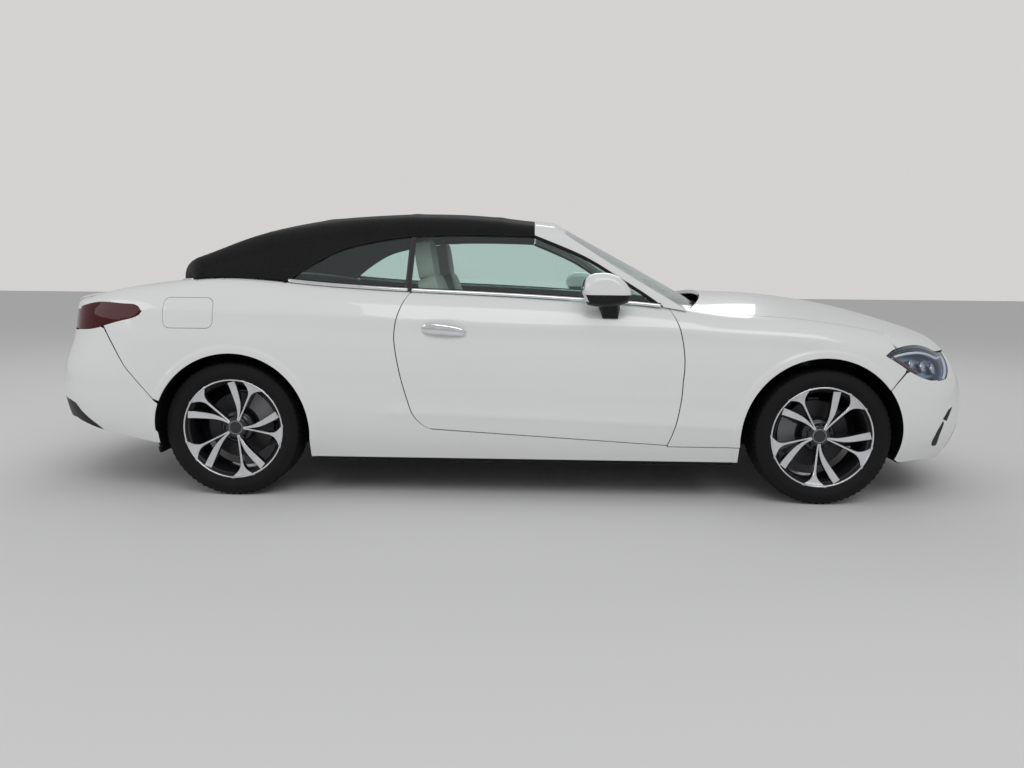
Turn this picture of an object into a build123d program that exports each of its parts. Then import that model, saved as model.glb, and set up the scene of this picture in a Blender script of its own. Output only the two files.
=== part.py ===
"""Two-door four-seat convertible car with a raised fabric roof.

Millimetres. +X is forward, +Y is the car's left, +Z is up. The origin is on the ground, under the
middle of the overall length. The right-hand side is drawn first and mirrored for the left.
"""

import os
from functools import cache
from math import atan2, cos, degrees, radians, sin

from build123d import *

os.makedirs("parts", exist_ok=True)

# ---------------------------------------------------------------- driving sizes
GAP = 5.0  # shut gap between panels, and running clearance round what moves
SEAT = 0.3  # clearance between a piece and what it is seated on

REAR_AXLE_X = -1343.0
FRONT_AXLE_X = 1522.0
HALF_TRACK = 797.0
TYRE_R = 332.0
TYRE_W = 232.0
RIM_R = 243.0  # rim flange radius

FRONT_ARCH_X, FRONT_ARCH_R = 1508.0, 389.0
REAR_ARCH_X, REAR_ARCH_R = -1330.0, 378.0
WELL_R = 408.0  # inner wheelhouse radius, room for the steered wheel
REAR_WELL_R = 392.0

SKIN = 6.0  # wings, quarter panels and bumpers
BONNET_T = 22.0
LID_T = 24.0
TONNEAU_T = 14.0
SOFT_TOP_T = 20.0
GLASS_T = 5.0

# Body levels: height z, half width at mid length, nose x and tail x on the centre line.
LEVELS = [
    (175, 862, 2352, -2300),
    (300, 908, 2402, -2380),
    (430, 927, 2425, -2420),
    (600, 925, 2402, -2425),
    (760, 915, 2345, -2368),
    (900, 893, 2325, -2350),
    (1130, 780, 2310, -2335),
]
# Corners in plan: distance back from the end and share of the half width, from the middle outwards.
NOSE_CORNER = ((84, 0.58), (232, 0.83), (540, 0.985))
TAIL_CORNER = ((80, 0.60), (215, 0.84), (520, 0.985))
# Upper surface: station x, centre-line height z, and drop of the crown at 800 from the centre line.
CROWN = [
    (-2460, 905, 40), (-2330, 968, 35), (-2180, 978, 32), (-1960, 1028, 30), (-1718, 1062, 28),
    (-1500, 1090, 28), (-1000, 1073, 30), (0, 1028, 32), (500, 1028, 54), (800, 1034, 80),
    (1026, 1014, 92), (1316, 1003, 98), (1539, 982, 100), (1809, 935, 100), (2112, 852, 100),
    (2250, 795, 100), (2337, 722, 100), (2460, 560, 100),
]
CROWN_REACH = 1100.0
SHOULDER_R = 38.0
UNDER_REACH = 60.0

# Glasshouse: station x, top of the side glass, shoulder y and z, and crown height.
HOUSE = [
    (-1850, 1046, 725, 1052, 1066), (-1700, 1075, 690, 1116, 1152), (-1500, 1120, 640, 1196, 1238),
    (-1300, 1185, 590, 1278, 1322), (-1100, 1235, 560, 1325, 1374), (-800, 1270, 545, 1368, 1410),
    (-500, 1288, 545, 1382, 1424), (-200, 1295, 545, 1378, 1420), (150, 1288, 560, 1346, 1388),
    (600, 1275, 560, 1340, 1384), (1150, 1270, 560, 1340, 1384),
]
HOUSE_FOOT_Z = 880.0
GLASS_FOOT = (830.0, 1000.0)  # y and z of the side glass plane at the belt
GLASS_LEAN = 0.655  # inward lean of the side glass for each unit of height

# Windscreen surface: height z, corner x, corner y and centre x.
SCREEN = [(900, 935, 830, 1120), (1130, 545, 690, 700), (1400, 120, 560, 190)]


# ---------------------------------------------------------------- shared forms
def side_y(z):
    """Half width of the side glass plane at a height."""
    return GLASS_FOOT[0] - (z - GLASS_FOOT[1]) * GLASS_LEAN


def level_outline(half_w, nose_x, tail_x):
    """Closed plan outline of the body at one level: end arcs, corner arcs and side arcs."""
    nose = [(nose_x - back, share * half_w) for back, share in NOSE_CORNER]
    tail = [(tail_x + back, share * half_w) for back, share in TAIL_CORNER]
    for (x, y), end_x in ((nose[0], nose_x), (tail[0], tail_x)):
        ThreePointArc((x, -y), (end_x, 0), (x, y))
    for side in (-1, 1):
        front = [(x, side * y) for x, y in nose]
        back = [(x, side * y) for x, y in tail]
        ThreePointArc(*front)
        ThreePointArc(*back)
        middle = ((front[2][0] + back[2][0]) / 2, side * half_w)
        ThreePointArc(front[2], middle, back[2])


@cache
def crown_form(inset):
    """Everything under the bonnet, belt and rear deck surface."""
    with BuildPart() as under:
        for x, top, drop in CROWN:
            edge_z = top - inset - drop * (CROWN_REACH / 800) ** 2
            with BuildSketch(Plane.YZ.offset(x)):
                with BuildLine():
                    Polyline((-CROWN_REACH, edge_z), (-CROWN_REACH, 0), (CROWN_REACH, 0), (CROWN_REACH, edge_z))
                    ThreePointArc((-CROWN_REACH, edge_z), (0, top - inset), (CROWN_REACH, edge_z))
                make_face()
        loft()
    return under.part


@cache
def body_form(inset):
    """The lower body as one solid, its surface set in by a wall thickness."""
    with BuildPart() as form:
        for number, (z, half_w, nose_x, tail_x) in enumerate(LEVELS):
            reach = UNDER_REACH if inset and number == 0 else 0
            with BuildSketch(Plane.XY.offset(z - reach)):
                with BuildLine():
                    level_outline(half_w - inset, nose_x - inset, tail_x + inset)
                make_face()
        loft()
        add(crown_form(inset), mode=Mode.INTERSECT)
    return form.part


@cache
def house_form(inset):
    """The glasshouse as one solid: leaning side planes, rounded shoulders and a crowned roof."""
    with BuildPart() as form:
        for x, rail_z, shoulder_y, shoulder_z, crown_z in HOUSE:
            foot = (side_y(HOUSE_FOOT_Z) - inset, HOUSE_FOOT_Z)
            rail = (side_y(rail_z) - inset, rail_z)
            shoulder = (shoulder_y - inset * 0.6, shoulder_z - inset * 0.8)
            bend = (
                (rail[0] + shoulder[0]) / 2 + 0.14 * (shoulder[1] - rail[1]),
                (rail[1] + shoulder[1]) / 2 + 0.14 * (rail[0] - shoulder[0]),
            )
            with BuildSketch(Plane.YZ.offset(x)):
                with BuildLine():
                    Line((-foot[0], foot[1]), foot)
                    for s in (-1, 1):
                        Line((s * foot[0], foot[1]), (s * rail[0], rail[1]))
                        ThreePointArc((s * rail[0], rail[1]), (s * bend[0], bend[1]), (s * shoulder[0], shoulder[1]))
                    ThreePointArc((-shoulder[0], shoulder[1]), (0, crown_z - inset), shoulder)
                make_face()
        loft()
    return form.part


@cache
def screen_form(inset, back_x=-400.0):
    """Everything behind the windscreen surface."""
    with BuildPart() as form:
        for z, corner_x, corner_y, centre_x in SCREEN:
            with BuildSketch(Plane.XY.offset(z)):
                with BuildLine():
                    a, b = (corner_x - inset, -corner_y), (corner_x - inset, corner_y)
                    far_a, far_b = (back_x, -950), (back_x, 950)
                    out_a, out_b = (corner_x - inset - 60, -950), (corner_x - inset - 60, 950)
                    ThreePointArc(a, (centre_x - inset, 0), b)
                    Polyline(b, out_b, far_b, far_a, out_a, a)
                make_face()
        loft(ruled=True)
    return form.part


def side_prism(outline, inner=300.0, outer=1100.0):
    """A solid on the right-hand side whose side view is the outline, from y = -inner to y = -outer."""
    with BuildPart() as prism:
        with BuildSketch(Plane.XZ.offset(inner)):
            with BuildLine():
                outline()
            make_face()
        extrude(amount=outer - inner)
    return prism.part


def plan_prism(outline, bottom=100.0, top=1500.0):
    """A solid whose plan view is the outline."""
    with BuildPart() as prism:
        with BuildSketch(Plane.XY.offset(bottom)):
            with BuildLine():
                outline()
            make_face()
        extrude(amount=top - bottom)
    return prism.part


def wheel_well(x, radius, inner, outer=1100.0):
    """The room for one right-hand wheel."""
    with BuildPart() as well:
        with BuildSketch(Plane.XZ.offset(inner)):
            with Locations((x, TYRE_R)):
                Circle(radius)
            with Locations((x, TYRE_R - radius / 2 - 100)):
                Rectangle(2 * radius - 6, radius)
        extrude(amount=outer - inner)
    return well.part


def mirrored(shape):
    """The left-hand twin of a right-hand piece."""
    with BuildPart() as twin:
        add(shape)
        mirror(about=Plane.XZ, mode=Mode.REPLACE)
    return twin.part




def slab(x, y, z, mode=Mode.ADD):
    """A box between two values on each axis, put into the part being built."""
    with Locations((sum(x) / 2, sum(y) / 2, sum(z) / 2)):
        Box(abs(x[1] - x[0]), abs(y[1] - y[0]), abs(z[1] - z[0]), mode=mode)


def rod(start, end, radius, mode=Mode.ADD):
    """A round bar between two points, put into the part being built."""
    run = Vector(*end) - Vector(*start)
    with BuildSketch(Plane(origin=start, z_dir=run)) as section:
        Circle(radius)
    extrude(section.sketch, amount=run.length, mode=mode)


def save(part, name):
    """Label a finished piece and write it out."""
    part.label = name
    export_step(part, f"parts/{name}.step")


def save_pair(part, name):
    """Write a right-hand piece and its left-hand twin."""
    save(part, name + "_right")
    save(mirrored(part), name + "_left")


# ---------------------------------------------------------------- seams, right-hand side
# The door's shut line in side view, from the belt down the front edge, along the sill and up.
DOOR_FRONT = [((758, 960), (797, 898), (822, 830)), ((822, 830), (841, 715), (836, 600)),
              ((836, 600), (820, 440), (775, 289))]
DOOR_REAR = [((-366, 356), (-425, 395), (-463, 457)), ((-463, 457), (-514, 632), (-540, 780)),
             ((-540, 780), (-523, 905), (-473, 1005))]
DOOR_TOP_Z = 1120.0
# The lower edge of the fabric roof above the side glass, then of the screen pillar, in side view.
ROOF_EDGE = [(-1100, 1043), (-1048, 1088), (-946, 1158), (-844, 1213), (-744, 1244), (-643, 1264),
             (-544, 1280), (-394, 1291), (-146, 1295), (125, 1290)]
PILLAR_EDGE = [(125, 1290), (248, 1241), (395, 1175), (543, 1084), (642, 1022), (742, 955), (760, 900)]
ROOF_FRONT_X = 128.0
LAMP = [(1845, 725), (1900, 760), (1981, 766), (2078, 752), (2115, 724), (2500, 722), (2500, 628),
        (2111, 618), (2085, 605), (2017, 619), (1941, 662)]
LAMP_INNER_Y = 470.0
TAIL_LAMP = [(-1811, 911), (-1859, 935), (-1988, 943), (-2024, 938), (-2150, 915), (-2500, 890),
             (-2500, 800), (-2150, 808), (-2076, 819), (-1985, 850), (-1873, 866), (-1817, 881)]
TAIL_LAMP_INNER_Y = 560.0
LAMP_GAP = 0.8
ROCKER_SEAM_Z = 284.0
SILL_Z = 204.0
BONNET_NOSE = [(840, 700), (840, 1100), (2600, 1100), (2600, 722), (2120, 728), (2080, 757), (1985, 771),
               (1905, 765), (1860, 800)]
BONNET_HALF_W = 805.0
BONNET_REAR = (1040.0, 880.0)  # rear edge on the centre line and at the sides
LID_SEAM_Z = 658.0
FLAP = (-1535.0, 900.0, 240.0, 143.0)  # centre x, centre z, length, height
FLAP_GAP = 4.5
COWL_Y = 745.0
COWL_Z = 905.0
ROOF_REAR = (-1825.0, -1540.0)  # rear edge of the fabric roof on the centre line and at 780
DECK_SEAM = (-1868.0, -1532.0)  # seam of tonneau and boot lid on the centre line and at 800


def door_outline(gap=0.0):
    """The door's side view, set in from the shut line by a gap."""
    front = [[(x - gap, z + (gap if z < 300 else 0)) for x, z in arc] for arc in DOOR_FRONT]
    rear = [[(x + gap, z + (gap if z < 400 else 0)) for x, z in arc] for arc in DOOR_REAR]
    for arc in front + rear:
        ThreePointArc(*arc)
    Line(front[-1][2], rear[0][0])
    Polyline(rear[-1][2], (-460 + gap, DOOR_TOP_Z), (748 - gap, DOOR_TOP_Z), front[0][0])


def grown_side_prism(outline, grow, inner=300.0, outer=1100.0):
    """A side prism whose outline is grown outwards, or shrunk, by a gap."""
    with BuildPart() as prism:
        with BuildSketch(Plane.XZ.offset(inner)):
            with BuildLine():
                outline()
            make_face()
            offset(amount=grow, kind=Kind.INTERSECTION, mode=Mode.REPLACE)
        extrude(amount=outer - inner)
    return prism.part


def closed(points):
    """An outline function for a closed polygon."""
    return lambda: Polyline(*points, points[0])


def deck_curve(seam, reach=800.0, at=0.0):
    """A curve across the car in plan: its centre x, its x at the reach, and an offset along x."""
    centre, side = seam
    return ThreePointArc((side + at, -reach), (centre + at, 0), (side + at, reach))


# ---------------------------------------------------------------- master solids
body = body_form(0)
with BuildPart() as rounded:
    add(body)
    fillet(rounded.faces().sort_by(Axis.Z)[-1].edges(), SHOULDER_R)
outer_form = rounded.part
behind_skin = body_form(SKIN + SEAT)
house = house_form(0)


def shell(thickness):
    """The lower body's wall, with one thickness, on the right-hand half."""
    with BuildPart() as half:
        add(outer_form)
        add(body_form(thickness), mode=Mode.SUBTRACT)
        slab((-2600, 2600), (0, 1200), (0, 1500), mode=Mode.SUBTRACT)
    return half.part


skin = shell(SKIN)
door_cut = side_prism(door_outline)
with BuildPart() as bonnet_region:
    with BuildSketch(Plane.XY.offset(600)):
        with BuildLine():
            ThreePointArc((BONNET_REAR[1], -BONNET_HALF_W), (BONNET_REAR[0], 0), (BONNET_REAR[1], BONNET_HALF_W))
            Polyline((BONNET_REAR[1], BONNET_HALF_W), (1809, BONNET_HALF_W), (1905, 850), (2600, 850), (2600, -850),
                     (1905, -850), (1809, -BONNET_HALF_W), (BONNET_REAR[1], -BONNET_HALF_W))
        make_face()
    extrude(amount=600)
    add(side_prism(closed(BONNET_NOSE), inner=-1100), mode=Mode.INTERSECT)
with BuildPart() as bonnet_cut:
    add(bonnet_region.part)
    offset(amount=GAP, kind=Kind.INTERSECTION)
with BuildPart() as lid_region:
    with BuildSketch(Plane.XY.offset(600)):
        with BuildLine():
            deck_curve(DECK_SEAM)
        with BuildLine():
            Polyline((DECK_SEAM[1], 800), (-2600, 800), (-2600, -800), (DECK_SEAM[1], -800))
        make_face()
    extrude(amount=600)
    with BuildSketch(Plane.XY.offset(600)):
        with BuildLine():
            Polyline((-1500, 715), (-2080, 665), (-2200, 558), (-2600, 558), (-2600, -558), (-2200, -558),
                     (-2080, -665), (-1500, -715), (-1500, 715))
        make_face()
    extrude(amount=600, mode=Mode.INTERSECT)
    slab((-2600, -1400), (-900, 900), (LID_SEAM_Z, 1200), mode=Mode.INTERSECT)
with BuildPart() as lid_cut:
    add(lid_region.part)
    offset(amount=GAP, kind=Kind.INTERSECTION)



# ---------------------------------------------------------------- outer panels
front_well = wheel_well(FRONT_ARCH_X, FRONT_ARCH_R, 300)
rear_well = wheel_well(REAR_ARCH_X, REAR_ARCH_R, 300)
lamp_cut = grown_side_prism(closed(LAMP), LAMP_GAP, inner=LAMP_INNER_Y - LAMP_GAP)
tail_lamp_cut = grown_side_prism(closed(TAIL_LAMP), LAMP_GAP, inner=TAIL_LAMP_INNER_Y - LAMP_GAP)


def flap_prism(grow, inner):
    """The fuel flap's rounded outline carried inwards from the right-hand side."""
    x, z, length, height = FLAP
    with BuildPart() as prism:
        with BuildSketch(Plane.XZ.offset(inner)):
            with Locations((x, z)):
                RectangleRounded(length + 2 * grow, height + 2 * grow, 32 + grow)
        extrude(amount=1100 - inner)
    return prism.part


FENDER_SIDE = [(700, 1080), (700, ROCKER_SEAM_Z), (1330, ROCKER_SEAM_Z), (1330, 560), (1800, 560),
               (1905, 672), (2010, 690), (2010, 1080)]
with BuildPart() as fender_right:
    add(skin)
    add(side_prism(closed(FENDER_SIDE), inner=0), mode=Mode.INTERSECT)
    add(door_cut, mode=Mode.SUBTRACT)
    add(front_well, mode=Mode.SUBTRACT)
    add(bonnet_cut.part, mode=Mode.SUBTRACT)
    add(lamp_cut, mode=Mode.SUBTRACT)
    slab((600, 1100), (-COWL_Y, 0), (850, 1200), mode=Mode.SUBTRACT)
    slab((1700, 2100), (-600, 0), (500, 1200), mode=Mode.SUBTRACT)
save_pair(fender_right.part, "front_wing")

REAR_BUMPER_SIDE = [(-1975, 846), (-1850, 640), (-1690, 470), (-1400, 420), (-1400, 150), (-2600, 150),
                    (-2600, 846)]
rear_bumper_cut = grown_side_prism(closed(REAR_BUMPER_SIDE), GAP, inner=-10)
with BuildPart() as side_panel:
    add(skin)
    slab((-2600, 1150), (-1000, 0), (SILL_Z, 1200), mode=Mode.INTERSECT)
    slab((700, 1200), (-1000, 0), (ROCKER_SEAM_Z - GAP, 1200), mode=Mode.SUBTRACT)
    add(door_cut, mode=Mode.SUBTRACT)
    add(rear_bumper_cut, mode=Mode.SUBTRACT)
    add(front_well, mode=Mode.SUBTRACT)
    add(rear_well, mode=Mode.SUBTRACT)
    add(tail_lamp_cut, mode=Mode.SUBTRACT)
    add(lid_cut.part, mode=Mode.SUBTRACT)
    slab((-2600, -2050), (-558, 0), (600, 1200), mode=Mode.SUBTRACT)
with BuildPart() as tonneau_region:
    with BuildSketch(Plane.XY.offset(900)):
        with BuildLine():
            deck_curve(DECK_SEAM, at=GAP)
        with BuildLine():
            Polyline((DECK_SEAM[1] + GAP, 800), (-1250, 806), (-1060, 790), (-1060, 600), (-1250, 560))
            ThreePointArc((-1250, 560), (-1330, 0), (-1250, -560))
            Polyline((-1250, -560), (-1060, -600), (-1060, -790), (-1250, -806), (DECK_SEAM[1] + GAP, -800))
        make_face()
    extrude(amount=300)
with BuildPart() as tonneau_cut:
    add(tonneau_region.part)
    offset(amount=GAP, kind=Kind.INTERSECTION)
    slab((-1500, -1055), (-700, 700), (900, 1200))
with BuildPart() as side_panel_right:
    add(side_panel.part)
    add(tonneau_cut.part, mode=Mode.SUBTRACT)
    slab((-1060, 1200), (-770, 0), (900, 1200), mode=Mode.SUBTRACT)
    add(flap_prism(FLAP_GAP, 700), mode=Mode.SUBTRACT)
save_pair(side_panel_right.part, "side_panel")

# The flap's hinge line stands up the car's side, just inside its surface and behind the flap's front edge.
FLAP_HINGE = Plane(origin=(-1441.5, -871.3, 900), x_dir=(1, 0, 0), z_dir=(0, 29, 120))
FLAP_PIN_R, FLAP_EYE_R, FLAP_EYE_H, FLAP_LUG_H, PIN_FIT = 2.5, 5.5, 14.0, 5.0, 0.3
with BuildPart() as fuel_flap:
    add(skin)
    add(flap_prism(0, 700), mode=Mode.INTERSECT)
    for s in (-1, 1):
        with BuildSketch(FLAP_HINGE.offset(s * (FLAP_EYE_H / 2 + PIN_FIT))):
            Circle(FLAP_EYE_R)
            Polygon((-10, -9), (4, -9), (5.5, 0), (-5.5, 0), align=None)
        extrude(amount=s * FLAP_LUG_H)
    with BuildSketch(FLAP_HINGE.offset(-FLAP_EYE_H / 2 - 2)):
        Circle(FLAP_PIN_R)
    extrude(amount=FLAP_EYE_H + 4)
save(fuel_flap.part, "fuel_flap")

with BuildPart() as tonneau_cover:
    add(outer_form)
    add(crown_form(TONNEAU_T), mode=Mode.SUBTRACT)
    add(tonneau_region.part, mode=Mode.INTERSECT)
save(tonneau_cover.part, "tonneau_cover")

with BuildPart() as boot_lid:
    add(outer_form)
    add(body_form(LID_T), mode=Mode.SUBTRACT)
    add(lid_region.part, mode=Mode.INTERSECT)
save(boot_lid.part, "boot_lid")

with BuildPart() as bonnet:
    add(outer_form)
    add(body_form(BONNET_T), mode=Mode.SUBTRACT)
    add(bonnet_region.part, mode=Mode.INTERSECT)
    slab((800, 2600), (-870, 870), (690, 1200), mode=Mode.INTERSECT)
save(bonnet.part, "bonnet")

FRONT_BUMPER_SIDE = [(1800 + GAP, 555), (1905 + GAP, 668), (2000, 690), (2130, 721), (2600, 718), (2600, 150),
                     (1700, 150), (1700, 555)]
GRILLE = [(-520, 420), (-400, 655), (400, 655), (520, 420)]
INTAKE = [(-660, 240), (-600, 365), (600, 365), (660, 240)]
with BuildPart() as bumper_openings:
    for outline in (GRILLE, INTAKE):
        with BuildSketch(Plane.YZ.offset(1900)):
            Polygon(*outline, align=None)
        extrude(amount=700)
with BuildPart() as front_bumper_half:
    add(skin)
    add(side_prism(closed(FRONT_BUMPER_SIDE), inner=-10), mode=Mode.INTERSECT)
    add(front_well, mode=Mode.SUBTRACT)
    add(lamp_cut, mode=Mode.SUBTRACT)
    add(bonnet_cut.part, mode=Mode.SUBTRACT)
with BuildPart() as front_bumper:
    add(front_bumper_half.part)
    mirror(about=Plane.XZ)
    add(bumper_openings.part, mode=Mode.SUBTRACT)
save(front_bumper.part, "front_bumper")

with BuildPart() as rear_bumper_half:
    add(skin)
    add(side_prism(closed(REAR_BUMPER_SIDE), inner=-10), mode=Mode.INTERSECT)
    add(rear_well, mode=Mode.SUBTRACT)
    add(tail_lamp_cut, mode=Mode.SUBTRACT)
    add(lid_cut.part, mode=Mode.SUBTRACT)
with BuildPart() as rear_bumper:
    add(rear_bumper_half.part)
    mirror(about=Plane.XZ)
save(rear_bumper.part, "rear_bumper")

# Grille and intake inserts: a frame and level bars that follow the bumper's curve.
BAR_PITCH, BAR_H, BAR_DEPTH = 34.0, 9.0, 32.0
with BuildPart() as bars:
    for outline in (GRILLE, INTAKE):
        with BuildSketch(Plane.YZ.offset(1900)):
            Polygon(*outline, align=None)
            offset(amount=-LAMP_GAP, kind=Kind.INTERSECTION, mode=Mode.REPLACE)
            offset(amount=-12, kind=Kind.INTERSECTION, mode=Mode.SUBTRACT)
        extrude(amount=700)
        low, high = outline[0][1], outline[1][1]
        count = int((high - low) / BAR_PITCH)
        for number in range(1, count):
            z = low + number * (high - low) / count
            half = abs(outline[0][0]) + (z - low) / (high - low) * (outline[2][0] - outline[3][0]) - 6
            slab((1900, 2600), (-half, half), (z - BAR_H / 2, z + BAR_H / 2))
with BuildPart() as grille:
    add(outer_form)
    add(body_form(BAR_DEPTH), mode=Mode.SUBTRACT)
    add(bars.part, mode=Mode.INTERSECT)
save(grille.part, "grille")

lamp_block = grown_side_prism(closed(LAMP), 0, inner=LAMP_INNER_Y)
with BuildPart() as headlamp_right:
    add(outer_form)
    add(body_form(85), mode=Mode.SUBTRACT)
    add(lamp_block, mode=Mode.INTERSECT)
with BuildPart() as headlamps:
    add(headlamp_right.part)
    mirror(about=Plane.XZ)
save(headlamps.part, "headlamps")

with BuildPart() as tail_lamp_right:
    add(outer_form)
    add(body_form(60), mode=Mode.SUBTRACT)
    add(side_prism(closed(TAIL_LAMP), inner=TAIL_LAMP_INNER_Y), mode=Mode.INTERSECT)
with BuildPart() as tail_lamps:
    add(tail_lamp_right.part)
    mirror(about=Plane.XZ)
save(tail_lamps.part, "tail_lamps")

# ---------------------------------------------------------------- doors
DOOR_HINGE = (748.0, -893.0)
HINGE_CLEAR_R = 112.0
DOOR_LIP = 10.0
DOOR_SHUT_X = DOOR_HINGE[0] - 36.0
HINGE_ZS = (400.0, 690.0)
DOOR_INNER_Y = 772.0
PIN_R, EYE_R, EYE_H, LUG_H = 7.0, 13.0, 26.0, 14.0
with BuildPart() as door_lip_cut:
    slab((DOOR_SHUT_X, 900), (-1000, -600), (200, 1200))
    add(body_form(DOOR_LIP), mode=Mode.INTERSECT)
with BuildPart() as door_right:
    add(side_prism(lambda: door_outline(GAP), inner=DOOR_INNER_Y))
    add(outer_form, mode=Mode.INTERSECT)
    add(door_lip_cut.part, mode=Mode.SUBTRACT)
    for z in HINGE_ZS:
        for s in (-1, 1):
            middle = z + s * (EYE_H + LUG_H + 2 * PIN_FIT) / 2
            slab((DOOR_SHUT_X - 2, DOOR_HINGE[0]), (DOOR_HINGE[1] - EYE_R, DOOR_HINGE[1] + EYE_R),
                 (middle - LUG_H / 2, middle + LUG_H / 2))
            with Locations((DOOR_HINGE[0], DOOR_HINGE[1], middle)):
                Cylinder(EYE_R, LUG_H)
        with Locations((DOOR_HINGE[0], DOOR_HINGE[1], z)):
            Cylinder(PIN_R, EYE_H + LUG_H)
save_pair(door_right.part, "door")

# ---------------------------------------------------------------- glasshouse
above_body = crown_form(-SEAT)
screen = screen_form(0)


roof_side = [(-2000, 1000), (-1100, 1000)] + ROOF_EDGE + [(ROOF_FRONT_X, 1290), (ROOF_FRONT_X, 1500),
                                                         (-2000, 1500)]
with BuildPart() as roof_plan:
    with BuildSketch(Plane.XY.offset(900)):
        with BuildLine():
            deck_curve(ROOF_REAR, reach=780.0)
        with BuildLine():
            Polyline((ROOF_REAR[1], 780), (ROOF_REAR[1], 900), (300, 900), (300, -900), (ROOF_REAR[1], -900),
                     (ROOF_REAR[1], -780))
        make_face()
    extrude(amount=700)
REAR_WINDOW = [(-330, 1150), (-280, 1262), (280, 1262), (330, 1150)]
with BuildPart() as soft_top_skin:
    add(house)
    add(house_form(SOFT_TOP_T), mode=Mode.SUBTRACT)
    add(roof_plan.part, mode=Mode.INTERSECT)
    with BuildSketch(Plane.XZ.offset(-1000)):
        with BuildLine():
            Polyline(*roof_side, roof_side[0])
        make_face()
    extrude(amount=2000, mode=Mode.INTERSECT)
    add(above_body, mode=Mode.SUBTRACT)
with BuildPart() as rear_window_prism:
    with BuildSketch(Plane.YZ.offset(-2000)):
        Polygon(*REAR_WINDOW, align=None)
    extrude(amount=900)
with BuildPart() as rear_window_cut:
    with BuildSketch(Plane.YZ.offset(-2000)):
        Polygon(*REAR_WINDOW, align=None)
        offset(amount=LAMP_GAP, kind=Kind.INTERSECTION, mode=Mode.REPLACE)
    extrude(amount=900)
with BuildPart() as soft_top:
    add(soft_top_skin.part)
    add(rear_window_cut.part, mode=Mode.SUBTRACT)
save(soft_top.part, "soft_top")

with BuildPart() as rear_window:
    add(house_form(3))
    add(house_form(3 + GLASS_T), mode=Mode.SUBTRACT)
    add(rear_window_prism.part, mode=Mode.INTERSECT)

glass_plate_outer, glass_plate_inner = house_form(2), house_form(2 + GLASS_T)
with BuildPart() as side_glass:
    add(glass_plate_outer)
    add(glass_plate_inner, mode=Mode.SUBTRACT)
    slab((-1300, 900), (-1000, 0), (900, 1400), mode=Mode.INTERSECT)
    add(above_body, mode=Mode.SUBTRACT)
B_POST_X = -482.0
DOOR_GLASS_SIDE = [(B_POST_X + 4, 900), (B_POST_X + 4, 1280), (-394, 1285), (-146, 1289), (118, 1284),
                   (244, 1235), (391, 1169), (539, 1078), (638, 1016), (700, 975), (700, 900)]
QUARTER_GLASS_SIDE = [(B_POST_X - 4, 900), (B_POST_X - 4, 1282), (-544, 1275), (-643, 1259), (-744, 1239),
                      (-842, 1208), (-942, 1153), (-1043, 1084), (-1080, 1043), (-1080, 900)]
with BuildPart() as door_glass_right:
    add(side_glass.part)
    add(side_prism(closed(DOOR_GLASS_SIDE), inner=300), mode=Mode.INTERSECT)
save_pair(door_glass_right.part, "door_glass")
with BuildPart() as quarter_glass:
    add(side_glass.part)
    add(side_prism(closed(QUARTER_GLASS_SIDE), inner=300), mode=Mode.INTERSECT)
with BuildPart() as rear_glazing:
    add(rear_window.part)
    add(quarter_glass.part)
    add(mirrored(quarter_glass.part))
save(rear_glazing.part, "rear_glazing")

FRAME_T = 42.0
frame_side = [(ROOF_FRONT_X + SEAT, 1291)] + PILLAR_EDGE[1:] + [(1300, 900), (1300, 1500),
                                                               (ROOF_FRONT_X + SEAT, 1500)]
with BuildPart() as screen_block:
    add(house)
    add(screen, mode=Mode.INTERSECT)
    with BuildSketch(Plane.XZ.offset(-1000)):
        with BuildLine():
            Polyline(*frame_side, frame_side[0])
        make_face()
    extrude(amount=2000, mode=Mode.INTERSECT)
with BuildPart() as screen_hollow:
    add(house_form(FRAME_T))
    add(screen_form(FRAME_T), mode=Mode.INTERSECT)
with BuildPart() as screen_opening:
    add(house_form(58))
    slab((80, 1300), (-900, 900), (935, 1352), mode=Mode.INTERSECT)
with BuildPart() as pane_seat:
    add(screen)
    add(screen_form(GLASS_T + SEAT), mode=Mode.SUBTRACT)
    add(house_form(30), mode=Mode.INTERSECT)
    slab((80, 1300), (-900, 900), (912, 1372), mode=Mode.INTERSECT)
with BuildPart() as behind_bonnet:
    with BuildSketch(Plane.XY.offset(800)):
        with BuildLine():
            ThreePointArc((BONNET_REAR[1] - 8, -BONNET_HALF_W), (BONNET_REAR[0] - 8, 0),
                          (BONNET_REAR[1] - 8, BONNET_HALF_W))
            Polyline((BONNET_REAR[1] - 8, BONNET_HALF_W), (BONNET_REAR[1] - 30, 950), (-200, 950), (-200, -950),
                     (BONNET_REAR[1] - 30, -950), (BONNET_REAR[1] - 8, -BONNET_HALF_W))
        make_face()
    extrude(amount=700)
with BuildPart() as frame_blank:
    add(screen_block.part)
    add(behind_bonnet.part, mode=Mode.INTERSECT)
    add(screen_hollow.part, mode=Mode.SUBTRACT)
    add(screen_opening.part, mode=Mode.SUBTRACT)
    add(pane_seat.part, mode=Mode.SUBTRACT)
    slab((-500, 1500), (-1000, 1000), (COWL_Z + SEAT, 1500), mode=Mode.INTERSECT)
    slab((1014, 1031), (-100, 100), (COWL_Z + SEAT, 931))
with BuildPart() as low_sides:
    add(above_body)
    slab((500, 1300), (-COWL_Y + 3, COWL_Y - 3), (800, 1500), mode=Mode.SUBTRACT)
with BuildPart() as windscreen_frame:
    add(frame_blank.part)
    add(low_sides.part, mode=Mode.SUBTRACT)
save(windscreen_frame.part, "windscreen_frame")
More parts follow.
